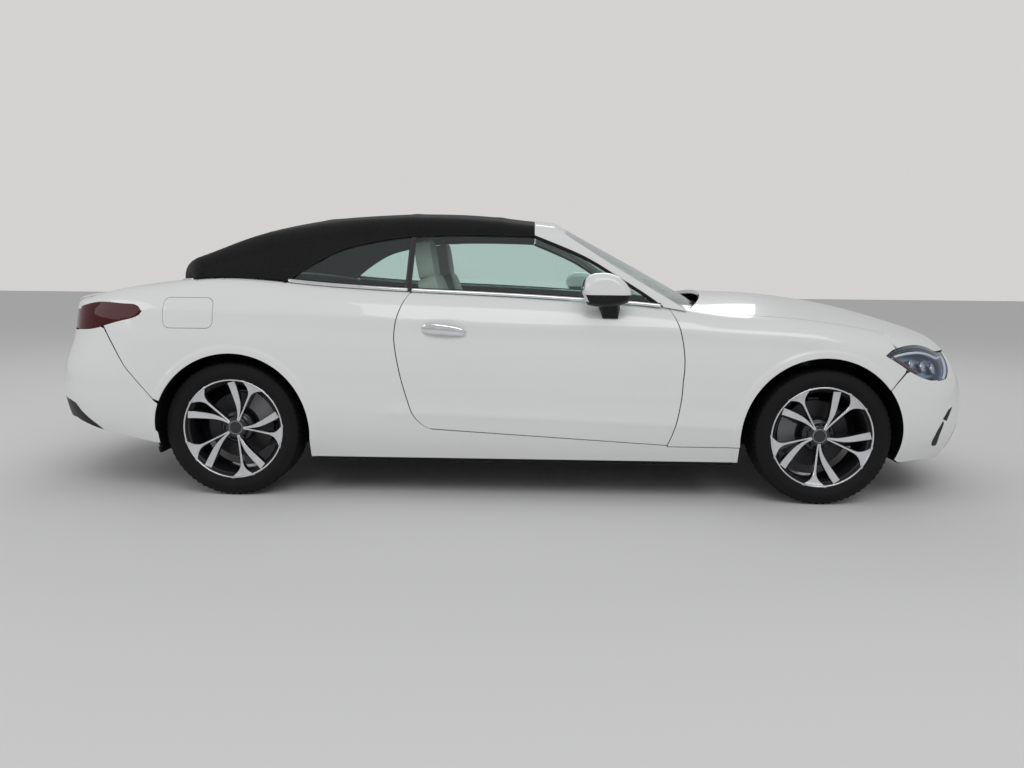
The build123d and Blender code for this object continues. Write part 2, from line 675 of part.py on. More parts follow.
with BuildPart() as windscreen:
    add(screen)
    add(screen_form(GLASS_T), mode=Mode.SUBTRACT)
    add(house_form(30 + LAMP_GAP), mode=Mode.INTERSECT)
    slab((80, 1300), (-900, 900), (912 + LAMP_GAP, 1372 - LAMP_GAP), mode=Mode.INTERSECT)
    add(behind_bonnet.part, mode=Mode.INTERSECT)
    add(low_sides.part, mode=Mode.SUBTRACT)
save(windscreen.part, "windscreen")

# ---------------------------------------------------------------- floor and inner structure
KINGPIN_Y = 725.0
LEG_TOP_Z = 484.7
SHEET_T = 12.0
LEG_Y = (380.0, 450.0)
BOOT_FLOOR_Z = 372.0
FLOOR_Z = (185.0, 200.0)
FLOOR_X = (-960.0, 1085.0)  # rear seat riser and firewall
TUNNEL_HALF_W, TUNNEL_TOP_Z, TUNNEL_T = 150.0, 400.0, 15.0
WELL_INNER_Y = {"front": LEG_Y[1] + SHEET_T, "rear": 562.0}
RING_INNER_Y = 800.0
# Side view of the structure behind the door opening: sill, lock post and hinge post.
RING = [(-640, 215), (-640, 975), (-452, 975), (-300, 975), (-450, 600), (-300, 345), (700, 300),
        (870, 290), (870, 860), (1010, 860), (1010, 215)]


def wheelhouse(x, radius, inner_y, window, window_top):
    """A right-hand wheelhouse liner: the arch over the wheel and the wall behind it, open for the arms."""
    with BuildPart() as liner:
        add(wheel_well(x, radius + SHEET_T, inner_y - SHEET_T))
        add(wheel_well(x, radius, inner_y), mode=Mode.SUBTRACT)
        slab((x - 600, x + 600), (-1000, 0), (200, 900), mode=Mode.INTERSECT)
        slab(window, (-inner_y - 20, -inner_y + 20), (100, window_top), mode=Mode.SUBTRACT)
    return liner.part


with BuildPart() as side_structure:
    add(side_prism(closed(RING), inner=RING_INNER_Y))
    add(door_cut, mode=Mode.SUBTRACT)
    slab((FLOOR_X[0], 1105), (-1000, -735), (FLOOR_Z[0], 280))
    slab((-660, -600), (-820, -690), (190, 975))
    slab((900, 1010), (-760, -700), (215, 893))
    slab((880, 1010), (-830, -740), (215, 850))
    add(wheelhouse(FRONT_ARCH_X, WELL_R, WELL_INNER_Y["front"], (1400, 1640), 530))
    add(wheelhouse(REAR_ARCH_X, REAR_WELL_R, WELL_INNER_Y["rear"], (-1470, -1210), 300))
    slab((FLOOR_X[1], 2175), (-LEG_Y[1], -LEG_Y[0]), (400, LEG_TOP_Z))
    slab((-2340, -1000), (-LEG_Y[1], -LEG_Y[0]), (BOOT_FLOOR_Z - 60, BOOT_FLOOR_Z))
    slab((2160, 2200), (-700, -360), (400, 520))
    slab((2190, 2420), (-700, -545), (400, 520))
    with BuildSketch(Plane.XY.offset(270)):
        with Locations(DOOR_HINGE):
            Circle(HINGE_CLEAR_R)
    extrude(amount=730, mode=Mode.SUBTRACT)
    for z in HINGE_ZS:
        x, y = DOOR_HINGE
        with Locations((x, y, z)):
            Cylinder(EYE_R, EYE_H)
        slab((x - EYE_R, x + EYE_R), (y, -760), (z - EYE_H / 2, z + EYE_H / 2))
        slab((x - EYE_R, 905), (-778, -752), (z - EYE_H / 2, z + EYE_H / 2))
        with Locations((x, y, z)):
            Cylinder(PIN_R + PIN_FIT, EYE_H + 10, mode=Mode.SUBTRACT)
    slab((560, 800), (-1000, -735), (290, 310), mode=Mode.SUBTRACT)
    add(behind_skin, mode=Mode.INTERSECT)
POCKET_T, POCKET_Y, POCKET_ROOM = 4.0, 800.0, 7.0
with BuildPart() as flap_pocket:
    add(flap_prism(POCKET_ROOM + POCKET_T, POCKET_Y))
    add(flap_prism(POCKET_ROOM, POCKET_Y + POCKET_T), mode=Mode.SUBTRACT)
    slab((-1653, -1641), (-1000, -POCKET_Y), (885, 915))
    slab((FLAP_HINGE.origin.X - 5, FLAP_HINGE.origin.X + 5), (FLAP_HINGE.origin.Y, -POCKET_Y), (894.5, 904))
    with BuildSketch(FLAP_HINGE.offset(-FLAP_EYE_H / 2)):
        Circle(FLAP_EYE_R)
    extrude(amount=FLAP_EYE_H)
    with BuildSketch(FLAP_HINGE.offset(-20)):
        Circle(FLAP_PIN_R + PIN_FIT)
    extrude(amount=40, mode=Mode.SUBTRACT)
    slab((-1600, -1560), (-830, -690), (880, 920))
    add(behind_skin, mode=Mode.INTERSECT)
with BuildPart() as structure:
    # floor, tunnel, firewall and cowl tray
    slab(FLOOR_X, (-760, 760), FLOOR_Z)
    slab(FLOOR_X, (-TUNNEL_HALF_W, TUNNEL_HALF_W), (FLOOR_Z[0], TUNNEL_TOP_Z))
    slab((FLOOR_X[1], FLOOR_X[1] + SHEET_T), (-740, 740), (FLOOR_Z[0], 900))
    slab((770, 880), (-738, 738), (893, COWL_Z))
    slab((870, FLOOR_X[1] + SHEET_T), (-650, 650), (893, COWL_Z))
    slab((895, 1010), (-705, 705), (880, 893))
    # rear floor, seat riser, bulkhead, tail panel and crash beams
    slab((FLOOR_X[0] - SHEET_T, FLOOR_X[0]), (-760, 760), (FLOOR_Z[0], BOOT_FLOOR_Z))
    slab((-2250, FLOOR_X[0]), (-575, 575), (BOOT_FLOOR_Z - SHEET_T, BOOT_FLOOR_Z))
    slab((-2325, -2240), (-480, 480), (BOOT_FLOOR_Z - SHEET_T, BOOT_FLOOR_Z))
    slab((-1196, -1184), (-560, 560), (BOOT_FLOOR_Z, 960))
    slab((-1196, -1184), (-700, 700), (770, 960))
    slab((-1260, -1184), (-720, 720), (948, 960))
    slab((2120, 2150), (-460, 460), (230, 690))
    slab((FLOOR_X[0] - 20, FLOOR_X[1] + 20), (-TUNNEL_HALF_W + TUNNEL_T, TUNNEL_HALF_W - TUNNEL_T),
         (100, TUNNEL_TOP_Z - TUNNEL_T), mode=Mode.SUBTRACT)
with BuildPart() as rails:
    slab((-1540, -1060), (-785, -700), (930, 1100))
    slab((-1240, -1060), (-700, -600), (948, 1100))
    mirror(about=Plane.XZ)
    add(crown_form(TONNEAU_T + SEAT), mode=Mode.INTERSECT)
with BuildPart() as lid_rails:
    slab((-1950, -1640), (-745, -630), (948, 1100))
    mirror(about=Plane.XZ)
    add(crown_form(LID_T + SEAT), mode=Mode.INTERSECT)
# rubber stops under the bonnet's corners, on the cowl tray and on the nose panel
with BuildPart() as bonnet_stops:
    slab((965, 1005), (-640, -600), (COWL_Z - SHEET_T, 1100))
    slab((2120, 2150), (-420, -380), (680, 1000))
    mirror(about=Plane.XZ)
    add(crown_form(BONNET_T + SEAT), mode=Mode.INTERSECT)
with BuildPart() as tail_panel:
    slab((-2425, -2310), (-760, 760), (430, 560))
    slab((-2340, -2310), (-760, 760), (360, 640))
    add(behind_skin, mode=Mode.INTERSECT)
with BuildPart() as monocoque:
    add(side_structure.part)
    for s in (-1, 1):
        slab((-1660, -1520), (s * 700, s * 760), (900, 960))
        slab((-1720, -1600), (s * 690, s * 740), (700, 960))
    mirror(about=Plane.XZ)
    add(flap_pocket.part)
    add(structure.part)
    add(tail_panel.part)
    add(rails.part)
    add(lid_rails.part)
    add(bonnet_stops.part)

# The welded structure in three lengths: nose, cabin and tail.
FIREWALL_FRONT_X = FLOOR_X[1] + SHEET_T
RISER_REAR_X = FLOOR_X[0] - SHEET_T
with BuildPart() as front_structure:
    add(monocoque.part)
    slab((FIREWALL_FRONT_X + SEAT, 2600), (-1000, 1000), (0, 1200), mode=Mode.INTERSECT)
save(front_structure.part, "front_structure")
with BuildPart() as floor_pan:
    add(monocoque.part)
    slab((RISER_REAR_X, FIREWALL_FRONT_X), (-1000, 1000), (0, 1200), mode=Mode.INTERSECT)
save(floor_pan.part, "floor_pan")
with BuildPart() as rear_structure:
    add(monocoque.part)
    slab((-2600, RISER_REAR_X - SEAT), (-1000, 1000), (0, 1200), mode=Mode.INTERSECT)
save(rear_structure.part, "rear_structure")

# ---------------------------------------------------------------- cabin
WHEEL_POS = (432.0, 400.0, 842.0)  # steering wheel centre
WHEEL_TILT = 24.0  # its axis above level, degrees
WHEEL_RIM_R, WHEEL_GRIP_R = 182.0, 15.0
DASH_HALF_W = 750.0
with BuildPart() as dashboard:
    with BuildSketch(Plane.XZ.offset(-DASH_HALF_W)):
        with BuildLine():
            Polyline((885, 600), (640, 600), (600, 690), (578, 800))
            ThreePointArc((578, 800), (596, 868), (660, 902))
            Polyline((660, 902), (800, 908), (885, 880), (885, 600))
        make_face()
    extrude(amount=2 * DASH_HALF_W)
    for s in (-1, 1):
        slab((760, 900), (s * 690, s * 800), (500, 1000), mode=Mode.SUBTRACT)
    slab((760, 900), (-800, 800), (COWL_Z - SHEET_T - SEAT, 1000), mode=Mode.SUBTRACT)
    # console over the tunnel
    with BuildSketch(Plane.XZ.offset(-115)):
        Polygon((-420, 400.3), (-420, 560), (-60, 590), (260, 560), (560, 640), (660, 760), (700, 400.3),
                align=None)
    extrude(amount=230)
    column = Vector(cos(radians(WHEEL_TILT)), 0, -sin(radians(WHEEL_TILT)))
    hub = Vector(*WHEEL_POS) + column * 30.3
    rod(tuple(hub), tuple(hub + column * 240), 34)
    rod(tuple(Vector(*WHEEL_POS) + column * 5), tuple(hub + column * 20), 11)
save(dashboard.part, "dashboard")

wheel_plane = Plane(origin=WHEEL_POS, x_dir=(0, 1, 0), z_dir=tuple(-column))
with BuildPart() as steering_wheel:
    with BuildSketch(wheel_plane.offset(-14)):
        for at, size in (((WHEEL_RIM_R / 2, 0), (WHEEL_RIM_R, 38)), ((-WHEEL_RIM_R / 2, 0), (WHEEL_RIM_R, 38)),
                         ((0, WHEEL_RIM_R / 2), (40, WHEEL_RIM_R))):
            with Locations(at):
                Rectangle(*size)
    extrude(amount=14)
    with BuildSketch(wheel_plane.offset(-26)):
        Circle(60)
    extrude(amount=34)
    with BuildSketch(Plane(origin=WHEEL_POS, x_dir=(0, 1, 0), z_dir=tuple(Vector(0, 1, 0).cross(-column)))):
        with Locations((WHEEL_RIM_R, 0)):
            Circle(WHEEL_GRIP_R)
    revolve(axis=Axis(WHEEL_POS, tuple(column)))
    with BuildSketch(wheel_plane.offset(-26)):
        Circle(11 + PIN_FIT)
    extrude(amount=21.6, mode=Mode.SUBTRACT)
save(steering_wheel.part, "steering_wheel")

SEAT_W, SEAT_Y = 480.0, 402.0
with BuildPart() as front_seats:
    for y in (-SEAT_Y, SEAT_Y):
        with BuildSketch(Plane.XZ.offset(-y - SEAT_W / 2)):
            with BuildLine():
                Polyline((250, 330), (-190, 300), (-190, 420))
                ThreePointArc((-190, 420), (-120, 440), (0, 430))
                ThreePointArc((0, 430), (170, 456), (290, 440))
                ThreePointArc((290, 440), (322, 392), (250, 330))
            make_face()
        extrude(amount=SEAT_W)
        with BuildSketch(Plane.XZ.offset(-y - SEAT_W / 2)):
            with BuildLine():
                Polyline((-100, 330), (-200, 320))
                ThreePointArc((-200, 320), (-330, 640), (-430, 1010))
                ThreePointArc((-430, 1010), (-385, 1042), (-335, 1020))
                ThreePointArc((-335, 1020), (-230, 700), (-100, 450))
                Line((-100, 450), (-100, 330))
            make_face()
        extrude(amount=SEAT_W)
        with BuildSketch(Plane.XZ.offset(-y - 135)):
            Polygon((-445, 1062), (-440, 1195), (-395, 1205), (-345, 1180), (-350, 1056), align=None)
        extrude(amount=270)
        for s in (-1, 1):
            rod((-385, y + s * 60, 1000), (-392, y + s * 60, 1080), 7)
            slab((-170, 230), (y + s * 180 - 20, y + s * 180 + 20), (200.3, 330))
save(front_seats.part, "front_seats")

REAR_SEAT_HALF_W = 540.0
with BuildPart() as rear_seat:
    with BuildSketch(Plane.XZ.offset(-REAR_SEAT_HALF_W)):
        with BuildLine():
            Polyline((-958, 200.3), (-520, 200.3), (-470, 300), (-452, 420))
            ThreePointArc((-452, 420), (-500, 470), (-600, 462))
            ThreePointArc((-600, 462), (-760, 430), (-900, 440))
            Line((-900, 440), (-958, 372.3))
            Line((-958, 372.3), (-958, 200.3))
        make_face()
    extrude(amount=2 * REAR_SEAT_HALF_W)
    with BuildSketch(Plane.XZ.offset(-REAR_SEAT_HALF_W)):
        with BuildLine():
            Polyline((-890, 372.3), (-1170, 372.3), (-1183.7, 930))
            ThreePointArc((-1183.7, 930), (-1130, 965), (-1075, 935))
            ThreePointArc((-1075, 935), (-1000, 700), (-890, 460))
            Line((-890, 460), (-890, 372.3))
        make_face()
    extrude(amount=2 * REAR_SEAT_HALF_W)
    slab((-1000, -400), (-160, 160), (100, 400.3), mode=Mode.SUBTRACT)
save(rear_seat.part, "rear_seat")

# ---------------------------------------------------------------- mirrors and wipers
with BuildPart() as mirror_right:
    for y, scale in ((-912, 0.62), (-960, 1.0), (-1005, 0.86), (-1021, 0.6)):
        with BuildSketch(Plane.XZ.offset(-y)):
            with BuildLine():
                pts = [(346, 1021), (427, 1108), (567, 1040), (560, 972), (486, 953), (375, 961)]
                mid = (465, 1028)
                p = [(mid[0] + (x - mid[0]) * scale, mid[1] + (z - mid[1]) * scale) for x, z in pts]
                ThreePointArc(p[0], (p[0][0] + 18 * scale, p[0][1] + 62 * scale), p[1])
                ThreePointArc(p[1], (p[1][0] + 92 * scale, p[1][1] - 18 * scale), p[2])
                ThreePointArc(p[2], (p[2][0] + 10 * scale, p[2][1] - 36 * scale), p[3])
                ThreePointArc(p[3], p[4], p[5])
                Line(p[5], p[0])
            make_face()
    loft()
    with BuildSketch(Plane.XY.offset(895)):
        Polygon((440, -862), (540, -862), (522, -925), (452, -925), align=None)
    with BuildSketch(Plane.XY.offset(985)):
        Polygon((430, -905), (530, -905), (515, -960), (440, -960), align=None)
    loft()
    add(body_form(-SEAT), mode=Mode.SUBTRACT)
save_pair(mirror_right.part, "mirror")

with BuildPart() as wipers:
    for x, y in ((1000, -560), (1075, 60)):
        rod((x, y, COWL_Z + SEAT), (x, y, 925), 12)
        rod((x, y, 922), (x - 15, y + 20, 940), 5)
        rod((x - 15, y + 20, 940), (x - 60, y + 60, 968), 5)
save(wipers.part, "wipers")

# ---------------------------------------------------------------- driveline blocks
with BuildPart() as engine:
    slab((1180, 1740), (-290, 290), (290, 800))
    chamfer(engine.edges().filter_by(Axis.X).group_by(Axis.Z)[-1], 90)
save(engine.part, "engine")
EXHAUST_Z = 310.0
with BuildPart() as exhaust:
    rod((1179.7, -60, EXHAUST_Z), (-1860, -60, EXHAUST_Z), 28)
    slab((-2150, -1850), (-360, 360), (225, BOOT_FLOOR_Z - 12.3))
    fillet(exhaust.edges().filter_by(Axis.Y), 40)
save(exhaust.part, "exhaust")


# ---------------------------------------------------------------- suspension
UPRIGHT_Z = (205.3, 484.7)
BALL_R = 10.0
SPINDLE_R = 17.0
HUB_FACE_Y = 817.0  # where the wheel meets the disc
DISC_Y = (752.0, 776.0)
DISC_R = 165.0
CALIPER_R = (70.0, 188.0)


def polar(radius, angle):
    """A point at a radius and an angle in degrees."""
    return (radius * cos(radians(angle)), radius * sin(radians(angle)))


def upright(x, caliper_angle, ball_fit):
    """A right-hand wheel carrier: upright, bearing boss, spindle and brake caliper over the disc."""
    with BuildPart() as carrier:
        slab((x - 36, x + 36), (-745, -698), (ball_fit + UPRIGHT_Z[0], UPRIGHT_Z[1] - ball_fit))
        rod((x, -660, TYRE_R), (x, -749, TYRE_R), 55)
        slab((x, x + 100 * cos(radians(caliper_angle))), (-748, -736), (TYRE_R - 30, TYRE_R + 50))
        rod((x, -740, TYRE_R), (x, -HUB_FACE_Y - 6, TYRE_R), SPINDLE_R)
        with BuildSketch(Plane(origin=(x, -736, TYRE_R), x_dir=(1, 0, 0), z_dir=(0, -1, 0))):
            with BuildLine():
                inner = [polar(CALIPER_R[0], caliper_angle + turn) for turn in (-27, 0, 27)]
                outer = [polar(CALIPER_R[1], caliper_angle + turn) for turn in (-27, 0, 27)]
                ThreePointArc(*inner)
                Line(inner[2], outer[2])
                ThreePointArc(*outer)
                Line(outer[0], inner[0])
            make_face()
        extrude(amount=66)
        with BuildSketch(Plane.XZ.offset(DISC_Y[0] - 3)):
            with Locations((x, TYRE_R)):
                Circle(DISC_R + 4)
                Circle(SPINDLE_R, mode=Mode.SUBTRACT)
        extrude(amount=DISC_Y[1] - DISC_Y[0] + 6, mode=Mode.SUBTRACT)
        with BuildSketch(Plane.XZ.offset(749.1)):
            with Locations((x, TYRE_R)):
                Circle(104)
                Circle(SPINDLE_R, mode=Mode.SUBTRACT)
        extrude(amount=80, mode=Mode.SUBTRACT)
        if not ball_fit:
            for z, sense in ((UPRIGHT_Z[0], 1), (UPRIGHT_Z[1], -1)):
                with BuildSketch(Plane.XY.offset(z)):
                    with Locations((x, -KINGPIN_Y)):
                        Circle(BALL_R + PIN_FIT)
                extrude(amount=sense * 24, mode=Mode.SUBTRACT)
    return carrier.part


def wishbones(x, inner_y, upper_inner_y, damper_y, pins):
    """Right-hand lower and upper arms with the damper, and the ball pins of a steered wheel."""
    with BuildPart() as arms:
        for z0, z1, inner_y in ((180.0, 205.0, inner_y), (485.0, 503.0, upper_inner_y)):
            for s in (-1, 1):
                with BuildSketch(Plane.XY.offset(z0)):
                    Polygon((x + s * 105, -inner_y), (x + s * 75, -inner_y), (x + s * 8, -KINGPIN_Y - 12),
                            (x + s * 26, -KINGPIN_Y - 12), align=None)
                extrude(amount=z1 - z0)
            slab((x - 24, x + 24), (-KINGPIN_Y - 12, -KINGPIN_Y + 22), (z0, z1))
        slab((x - 60, x + 60), (-damper_y - 34, -damper_y + 34), (180, 205))
        rod((x, -damper_y, 200), (x, -damper_y, 420), 22)
        rod((x, -damper_y, 330), (x, -damper_y, 716), 34)
        if pins:
            rod((x, -KINGPIN_Y, 200), (x, -KINGPIN_Y, 225), BALL_R)
            rod((x, -KINGPIN_Y, 490), (x, -KINGPIN_Y, 465), BALL_R)
    return arms.part


with BuildPart() as front_subframe:
    add(wishbones(FRONT_AXLE_X, 400, 400, 568, True))
    slab((FRONT_AXLE_X - 115, FRONT_AXLE_X + 115), (-455, -385), (180, 399.7))
    mirror(about=Plane.XZ)
    slab((FRONT_AXLE_X - 80, FRONT_AXLE_X + 80), (-455, 455), (180, 250))
    for x in (FRONT_AXLE_X - 60, FRONT_AXLE_X + 60):
        for y in (-220, 220):
            rod((x, y, 245), (x, y, 289.7), 30)

save(front_subframe.part, "front_subframe")

front_upright = upright(FRONT_AXLE_X, 180, 0)
save_pair(front_upright, "front_knuckle")

with BuildPart() as rear_subframe:
    add(wishbones(REAR_AXLE_X, 400, WELL_INNER_Y["rear"] + SEAT, 612, False))
    add(upright(REAR_AXLE_X, 35, 0.0001))
    slab((REAR_AXLE_X - 36, REAR_AXLE_X + 36), (-745, -698), (200, 490))
    slab((REAR_AXLE_X - 110, REAR_AXLE_X + 110), (-455, -385), (180, BOOT_FLOOR_Z - 60.3))
    mirror(about=Plane.XZ)
    slab((REAR_AXLE_X - 80, REAR_AXLE_X + 80), (-455, 455), (180, 260))

save(rear_subframe.part, "rear_subframe")

# ---------------------------------------------------------------- wheels
# Spoke design, in the wheel's own plane: five pairs of one straight thin spoke and one kinked broad one.
SPOKE_PAIRS = 5
FIRST_THIN = {"front": 64.0, "rear": 64.5}
RING = (214.0, 243.0)
THIN = [(64, 0, 15), (196, 0, 13)]  # radius, angle from the thin spoke, width
BROAD = [(58, 9, 11), (104, 13.5, 23), (150, 20, 29), (206, 24.8, 34)]
FLARE = [(176, 0, 13), (222, 0, 78)]


def bar_outline(stations, turn):
    """The outline of a bar of changing width, its stations in polar form about the hub."""
    centre = [(r * cos(radians(a + turn)), r * sin(radians(a + turn))) for r, a, _ in stations]
    left, right = [], []
    for number, (x, y) in enumerate(centre):
        before = centre[max(number - 1, 0)]
        after = centre[min(number + 1, len(centre) - 1)]
        run = Vector(after[0] - before[0], after[1] - before[1]).normalized()
        half = stations[number][2] / 2
        left.append((x - run.Y * half, y + run.X * half))
        right.append((x + run.Y * half, y - run.X * half))
    return left + right[::-1]


def wheel_plane_at(x):
    """The section plane of a right-hand wheel: outwards, then radius."""
    return Plane(origin=(x, -HALF_TRACK, TYRE_R), x_dir=(0, -1, 0), z_dir=(-1, 0, 0))


def revolved(x, points):
    """Revolve a closed polygon of (outward, radius) points about a right-hand wheel's axle."""
    with BuildSketch(wheel_plane_at(x)) as section:
        Polygon(*points, align=None)
    revolve(section.sketch, axis=Axis((x, 0, TYRE_R), (0, 1, 0)))


BARREL = [(-101, 216), (-101, 243), (-95.3, 243), (-95.3, 227.7), (95.3, 227.7), (95.3, 243), (101, 243),
          (101, 214), (-60, 210)]
DISH = [(20, 0), (20, 80), (54, 112), (64, 216), (64, 221), (94, 221), (91, 212), (68, 95), (61, 62), (61, 0)]
DISC = [(19.7, SPINDLE_R + PIN_FIT), (19.7, 78), (-21, 78), (-21, 165), (-45, 165), (-45, 68), (9.7, 68),
        (9.7, SPINDLE_R + PIN_FIT)]


def rim_piece(x, first_thin):
    """A right-hand alloy wheel."""
    with BuildPart() as rim:
        with BuildSketch(Plane.XZ.offset(HALF_TRACK + 15)):
            with Locations((x, TYRE_R)):
                Circle(78)
                for pair in range(SPOKE_PAIRS):
                    turn = first_thin + pair * 360 / SPOKE_PAIRS
                    for stations in (THIN, BROAD, FLARE):
                        Polygon(*bar_outline(stations, turn), align=None)
                Circle(220, mode=Mode.INTERSECT)
        extrude(amount=90)
    with BuildPart() as dish:
        revolved(x, DISH)
        add(rim.part, mode=Mode.INTERSECT)
    with BuildPart() as whole:
        add(dish.part)
        revolved(x, BARREL)
        rod((x, -HALF_TRACK, TYRE_R), (x, -HALF_TRACK - 45, TYRE_R), SPINDLE_R + PIN_FIT, mode=Mode.SUBTRACT)
    return whole.part


def tyre_piece(x):
    """A right-hand tyre, its sidewalls and crown in arcs."""
    half = TYRE_W / 2
    with BuildPart() as tyre:
        with BuildSketch(wheel_plane_at(x)):
            with BuildLine():
                for s in (-1, 1):
                    Line((s * 94.6, 228), (s * 94.8, 246))
                    ThreePointArc((s * 94.8, 246), (s * half, 283), (s * 106, 318))
                    ThreePointArc((s * 106, 318), (s * 100, 326), (s * 88, 329.5))
                ThreePointArc((-88, 329.5), (0, TYRE_R), (88, 329.5))
                Line((-94.6, 228), (94.6, 228))
            make_face()
        revolve(axis=Axis((x, 0, TYRE_R), (0, 1, 0)))
    return tyre.part


for end, x in (("front", FRONT_AXLE_X), ("rear", REAR_AXLE_X)):
    save_pair(tyre_piece(x), f"tyre_{end}")
    save_pair(rim_piece(x, FIRST_THIN[end]), f"rim_{end}")
    with BuildPart() as disc:
        revolved(x, DISC)
    save_pair(disc.part, f"brake_disc_{end}")
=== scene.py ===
"""Looks of a four-seat soft-top convertible car, laid out as a Blender add-on.

Tables and outlines are in millimetres, in the frame of the packed model: +X is forward, +Y is the car's left
and +Z is up. Meshes are written in metres. The right-hand side is drawn first and mirrored for the left.
"""

import math

import bmesh
import bpy
import numpy as np
from mathutils import Matrix, Vector
from mathutils.geometry import delaunay_2d_cdt


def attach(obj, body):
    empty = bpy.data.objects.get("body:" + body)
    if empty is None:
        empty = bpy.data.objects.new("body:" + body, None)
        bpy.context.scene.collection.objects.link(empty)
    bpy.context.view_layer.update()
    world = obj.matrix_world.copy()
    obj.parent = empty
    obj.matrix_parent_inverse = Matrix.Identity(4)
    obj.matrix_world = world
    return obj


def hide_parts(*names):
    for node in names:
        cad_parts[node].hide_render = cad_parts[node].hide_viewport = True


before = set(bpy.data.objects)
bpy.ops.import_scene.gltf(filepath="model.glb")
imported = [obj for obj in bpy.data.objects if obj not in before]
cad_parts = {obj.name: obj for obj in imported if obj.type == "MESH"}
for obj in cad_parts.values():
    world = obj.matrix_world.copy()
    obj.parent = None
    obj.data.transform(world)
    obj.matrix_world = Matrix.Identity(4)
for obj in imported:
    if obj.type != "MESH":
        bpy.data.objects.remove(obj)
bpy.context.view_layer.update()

bl_info = {
    "name": "Soft-top convertible",
    "version": (1, 0, 0),
    "blender": (4, 5, 0),
    "location": "View3D > Sidebar > Convertible",
    "description": "Builds the body, fabric roof, glass, lamps, wheels and cabin of a convertible car",
    "category": "Object",
}

MM = 0.001
GAP = 4.5  # shut gap between panels
SIDES = (("right", 1), ("left", -1))  # name and the sign that keeps or mirrors y

# Lower body: height, half width at mid length, nose x and tail x on the centre line.
LEVELS = [
    (175, 862, 2352, -2300), (300, 908, 2402, -2380), (430, 927, 2425, -2420), (600, 925, 2402, -2425),
    (760, 915, 2345, -2368), (900, 893, 2325, -2350), (1130, 780, 2310, -2335),
]
# Upper surface: station x, centre-line height, and drop of the crown at 800 from the centre line.
CROWN = [
    (-2460, 905, 40), (-2330, 968, 35), (-2180, 978, 32), (-1960, 1028, 30), (-1718, 1062, 28),
    (-1500, 1090, 28), (-1000, 1073, 30), (0, 1028, 32), (500, 1028, 54), (800, 1034, 80),
    (1026, 1014, 92), (1316, 1003, 98), (1539, 982, 100), (1809, 935, 100), (2112, 852, 100),
    (2250, 795, 100), (2337, 722, 100), (2460, 560, 100),
]
CROWN_AT = 800.0
# Plan corner: distance back from the end of the car, and share of the half width.
NOSE_CORNER = [(84, 0.58), (232, 0.83), (540, 0.985), (1200, 0.994), (2350, 1.0), (3500, 0.994)]
TAIL_CORNER = [(80, 0.60), (215, 0.84), (520, 0.985), (1200, 0.994), (2350, 1.0), (3500, 0.994)]
NOMINAL_HALF_W = 915.0
# Width of the soft blend between the sides and the upper surface, along the car.
BLEND = [(-2460, 26), (-2260, 30), (-1950, 70), (1500, 78), (2150, 120), (2460, 130)]

# Glasshouse: station x, top of the side glass, shoulder y and z, and crown height.
HOUSE = [
    (-1850, 1046, 725, 1052, 1066), (-1700, 1075, 690, 1116, 1152), (-1500, 1120, 640, 1196, 1238),
    (-1300, 1185, 590, 1278, 1322), (-1100, 1235, 560, 1325, 1374), (-800, 1270, 545, 1368, 1410),
    (-500, 1288, 545, 1382, 1424), (-200, 1295, 545, 1378, 1420), (150, 1288, 560, 1346, 1388),
    (600, 1275, 560, 1340, 1384),
]
GLASS_FOOT = (830.0, 1000.0)  # y and z of the side glass plane at the belt
GLASS_LEAN = 0.655  # inward lean of the side glass for each unit of height

# Character lines on the side: x and height.
UPPER_CREASE = [(-1723, 915), (-1334, 910), (-851, 896), (-275, 869), (535, 848), (1102, 840), (1573, 815)]
LOWER_CREASE = [(-514, 435), (65, 419), (640, 398), (1069, 380)]
# Wheel openings, front and rear: centre x, centre z and radius.
ARCHES = ((1508.0, 332.0, 389.0), (-1330.0, 332.0, 378.0))
# Where each line shows at full strength, from x to x, and how far it fades beyond.
UPPER_SPAN, LOWER_SPAN = (-1650, 1350, 380), (-520, 1010, 170)
FLARE = (5.0, 24.0, 44.0)  # how far the arch lips stand out, and where round the opening they fade
HANDLE_CUP = (-300.0, 832.0, 105.0, 40.0, 5.0)  # centre x and z, half length, half height and depth

# Door shut line in side view, as arcs by three points, then the lamps' upper and lower edges.
DOOR_FRONT = [((758, 960), (797, 898), (822, 830)), ((822, 830), (841, 715), (836, 600)),
              ((836, 600), (820, 440), (775, 289))]
DOOR_REAR = [((-366, 356), (-425, 395), (-463, 457)), ((-463, 457), (-514, 632), (-540, 780)),
             ((-540, 780), (-523, 905), (-473, 1005))]
LAMP = [(1791, 733), (1823, 755), (1874, 769), (1966, 775), (2039, 762), (2090, 741)]
LAMP_LOW = [(1791, 733), (1856, 696), (1916, 659), (1970, 634), (2010, 620), (2060, 611), (2110, 612)]
TAIL_LAMP = [(-1769, 906), (-1778, 920), (-1801, 933), (-1845, 937), (-1920, 941), (-1999, 943), (-2150, 915)]
TAIL_LAMP_LOW = [(-1769, 906), (-1776, 890), (-1796, 880), (-1867, 861), (-1942, 841), (-2025, 819),
                 (-2090, 811), (-2150, 808)]
FLAP = (-1535.0, 900.0, 240.0, 143.0)  # fuel flap: centre x, centre z, length and height


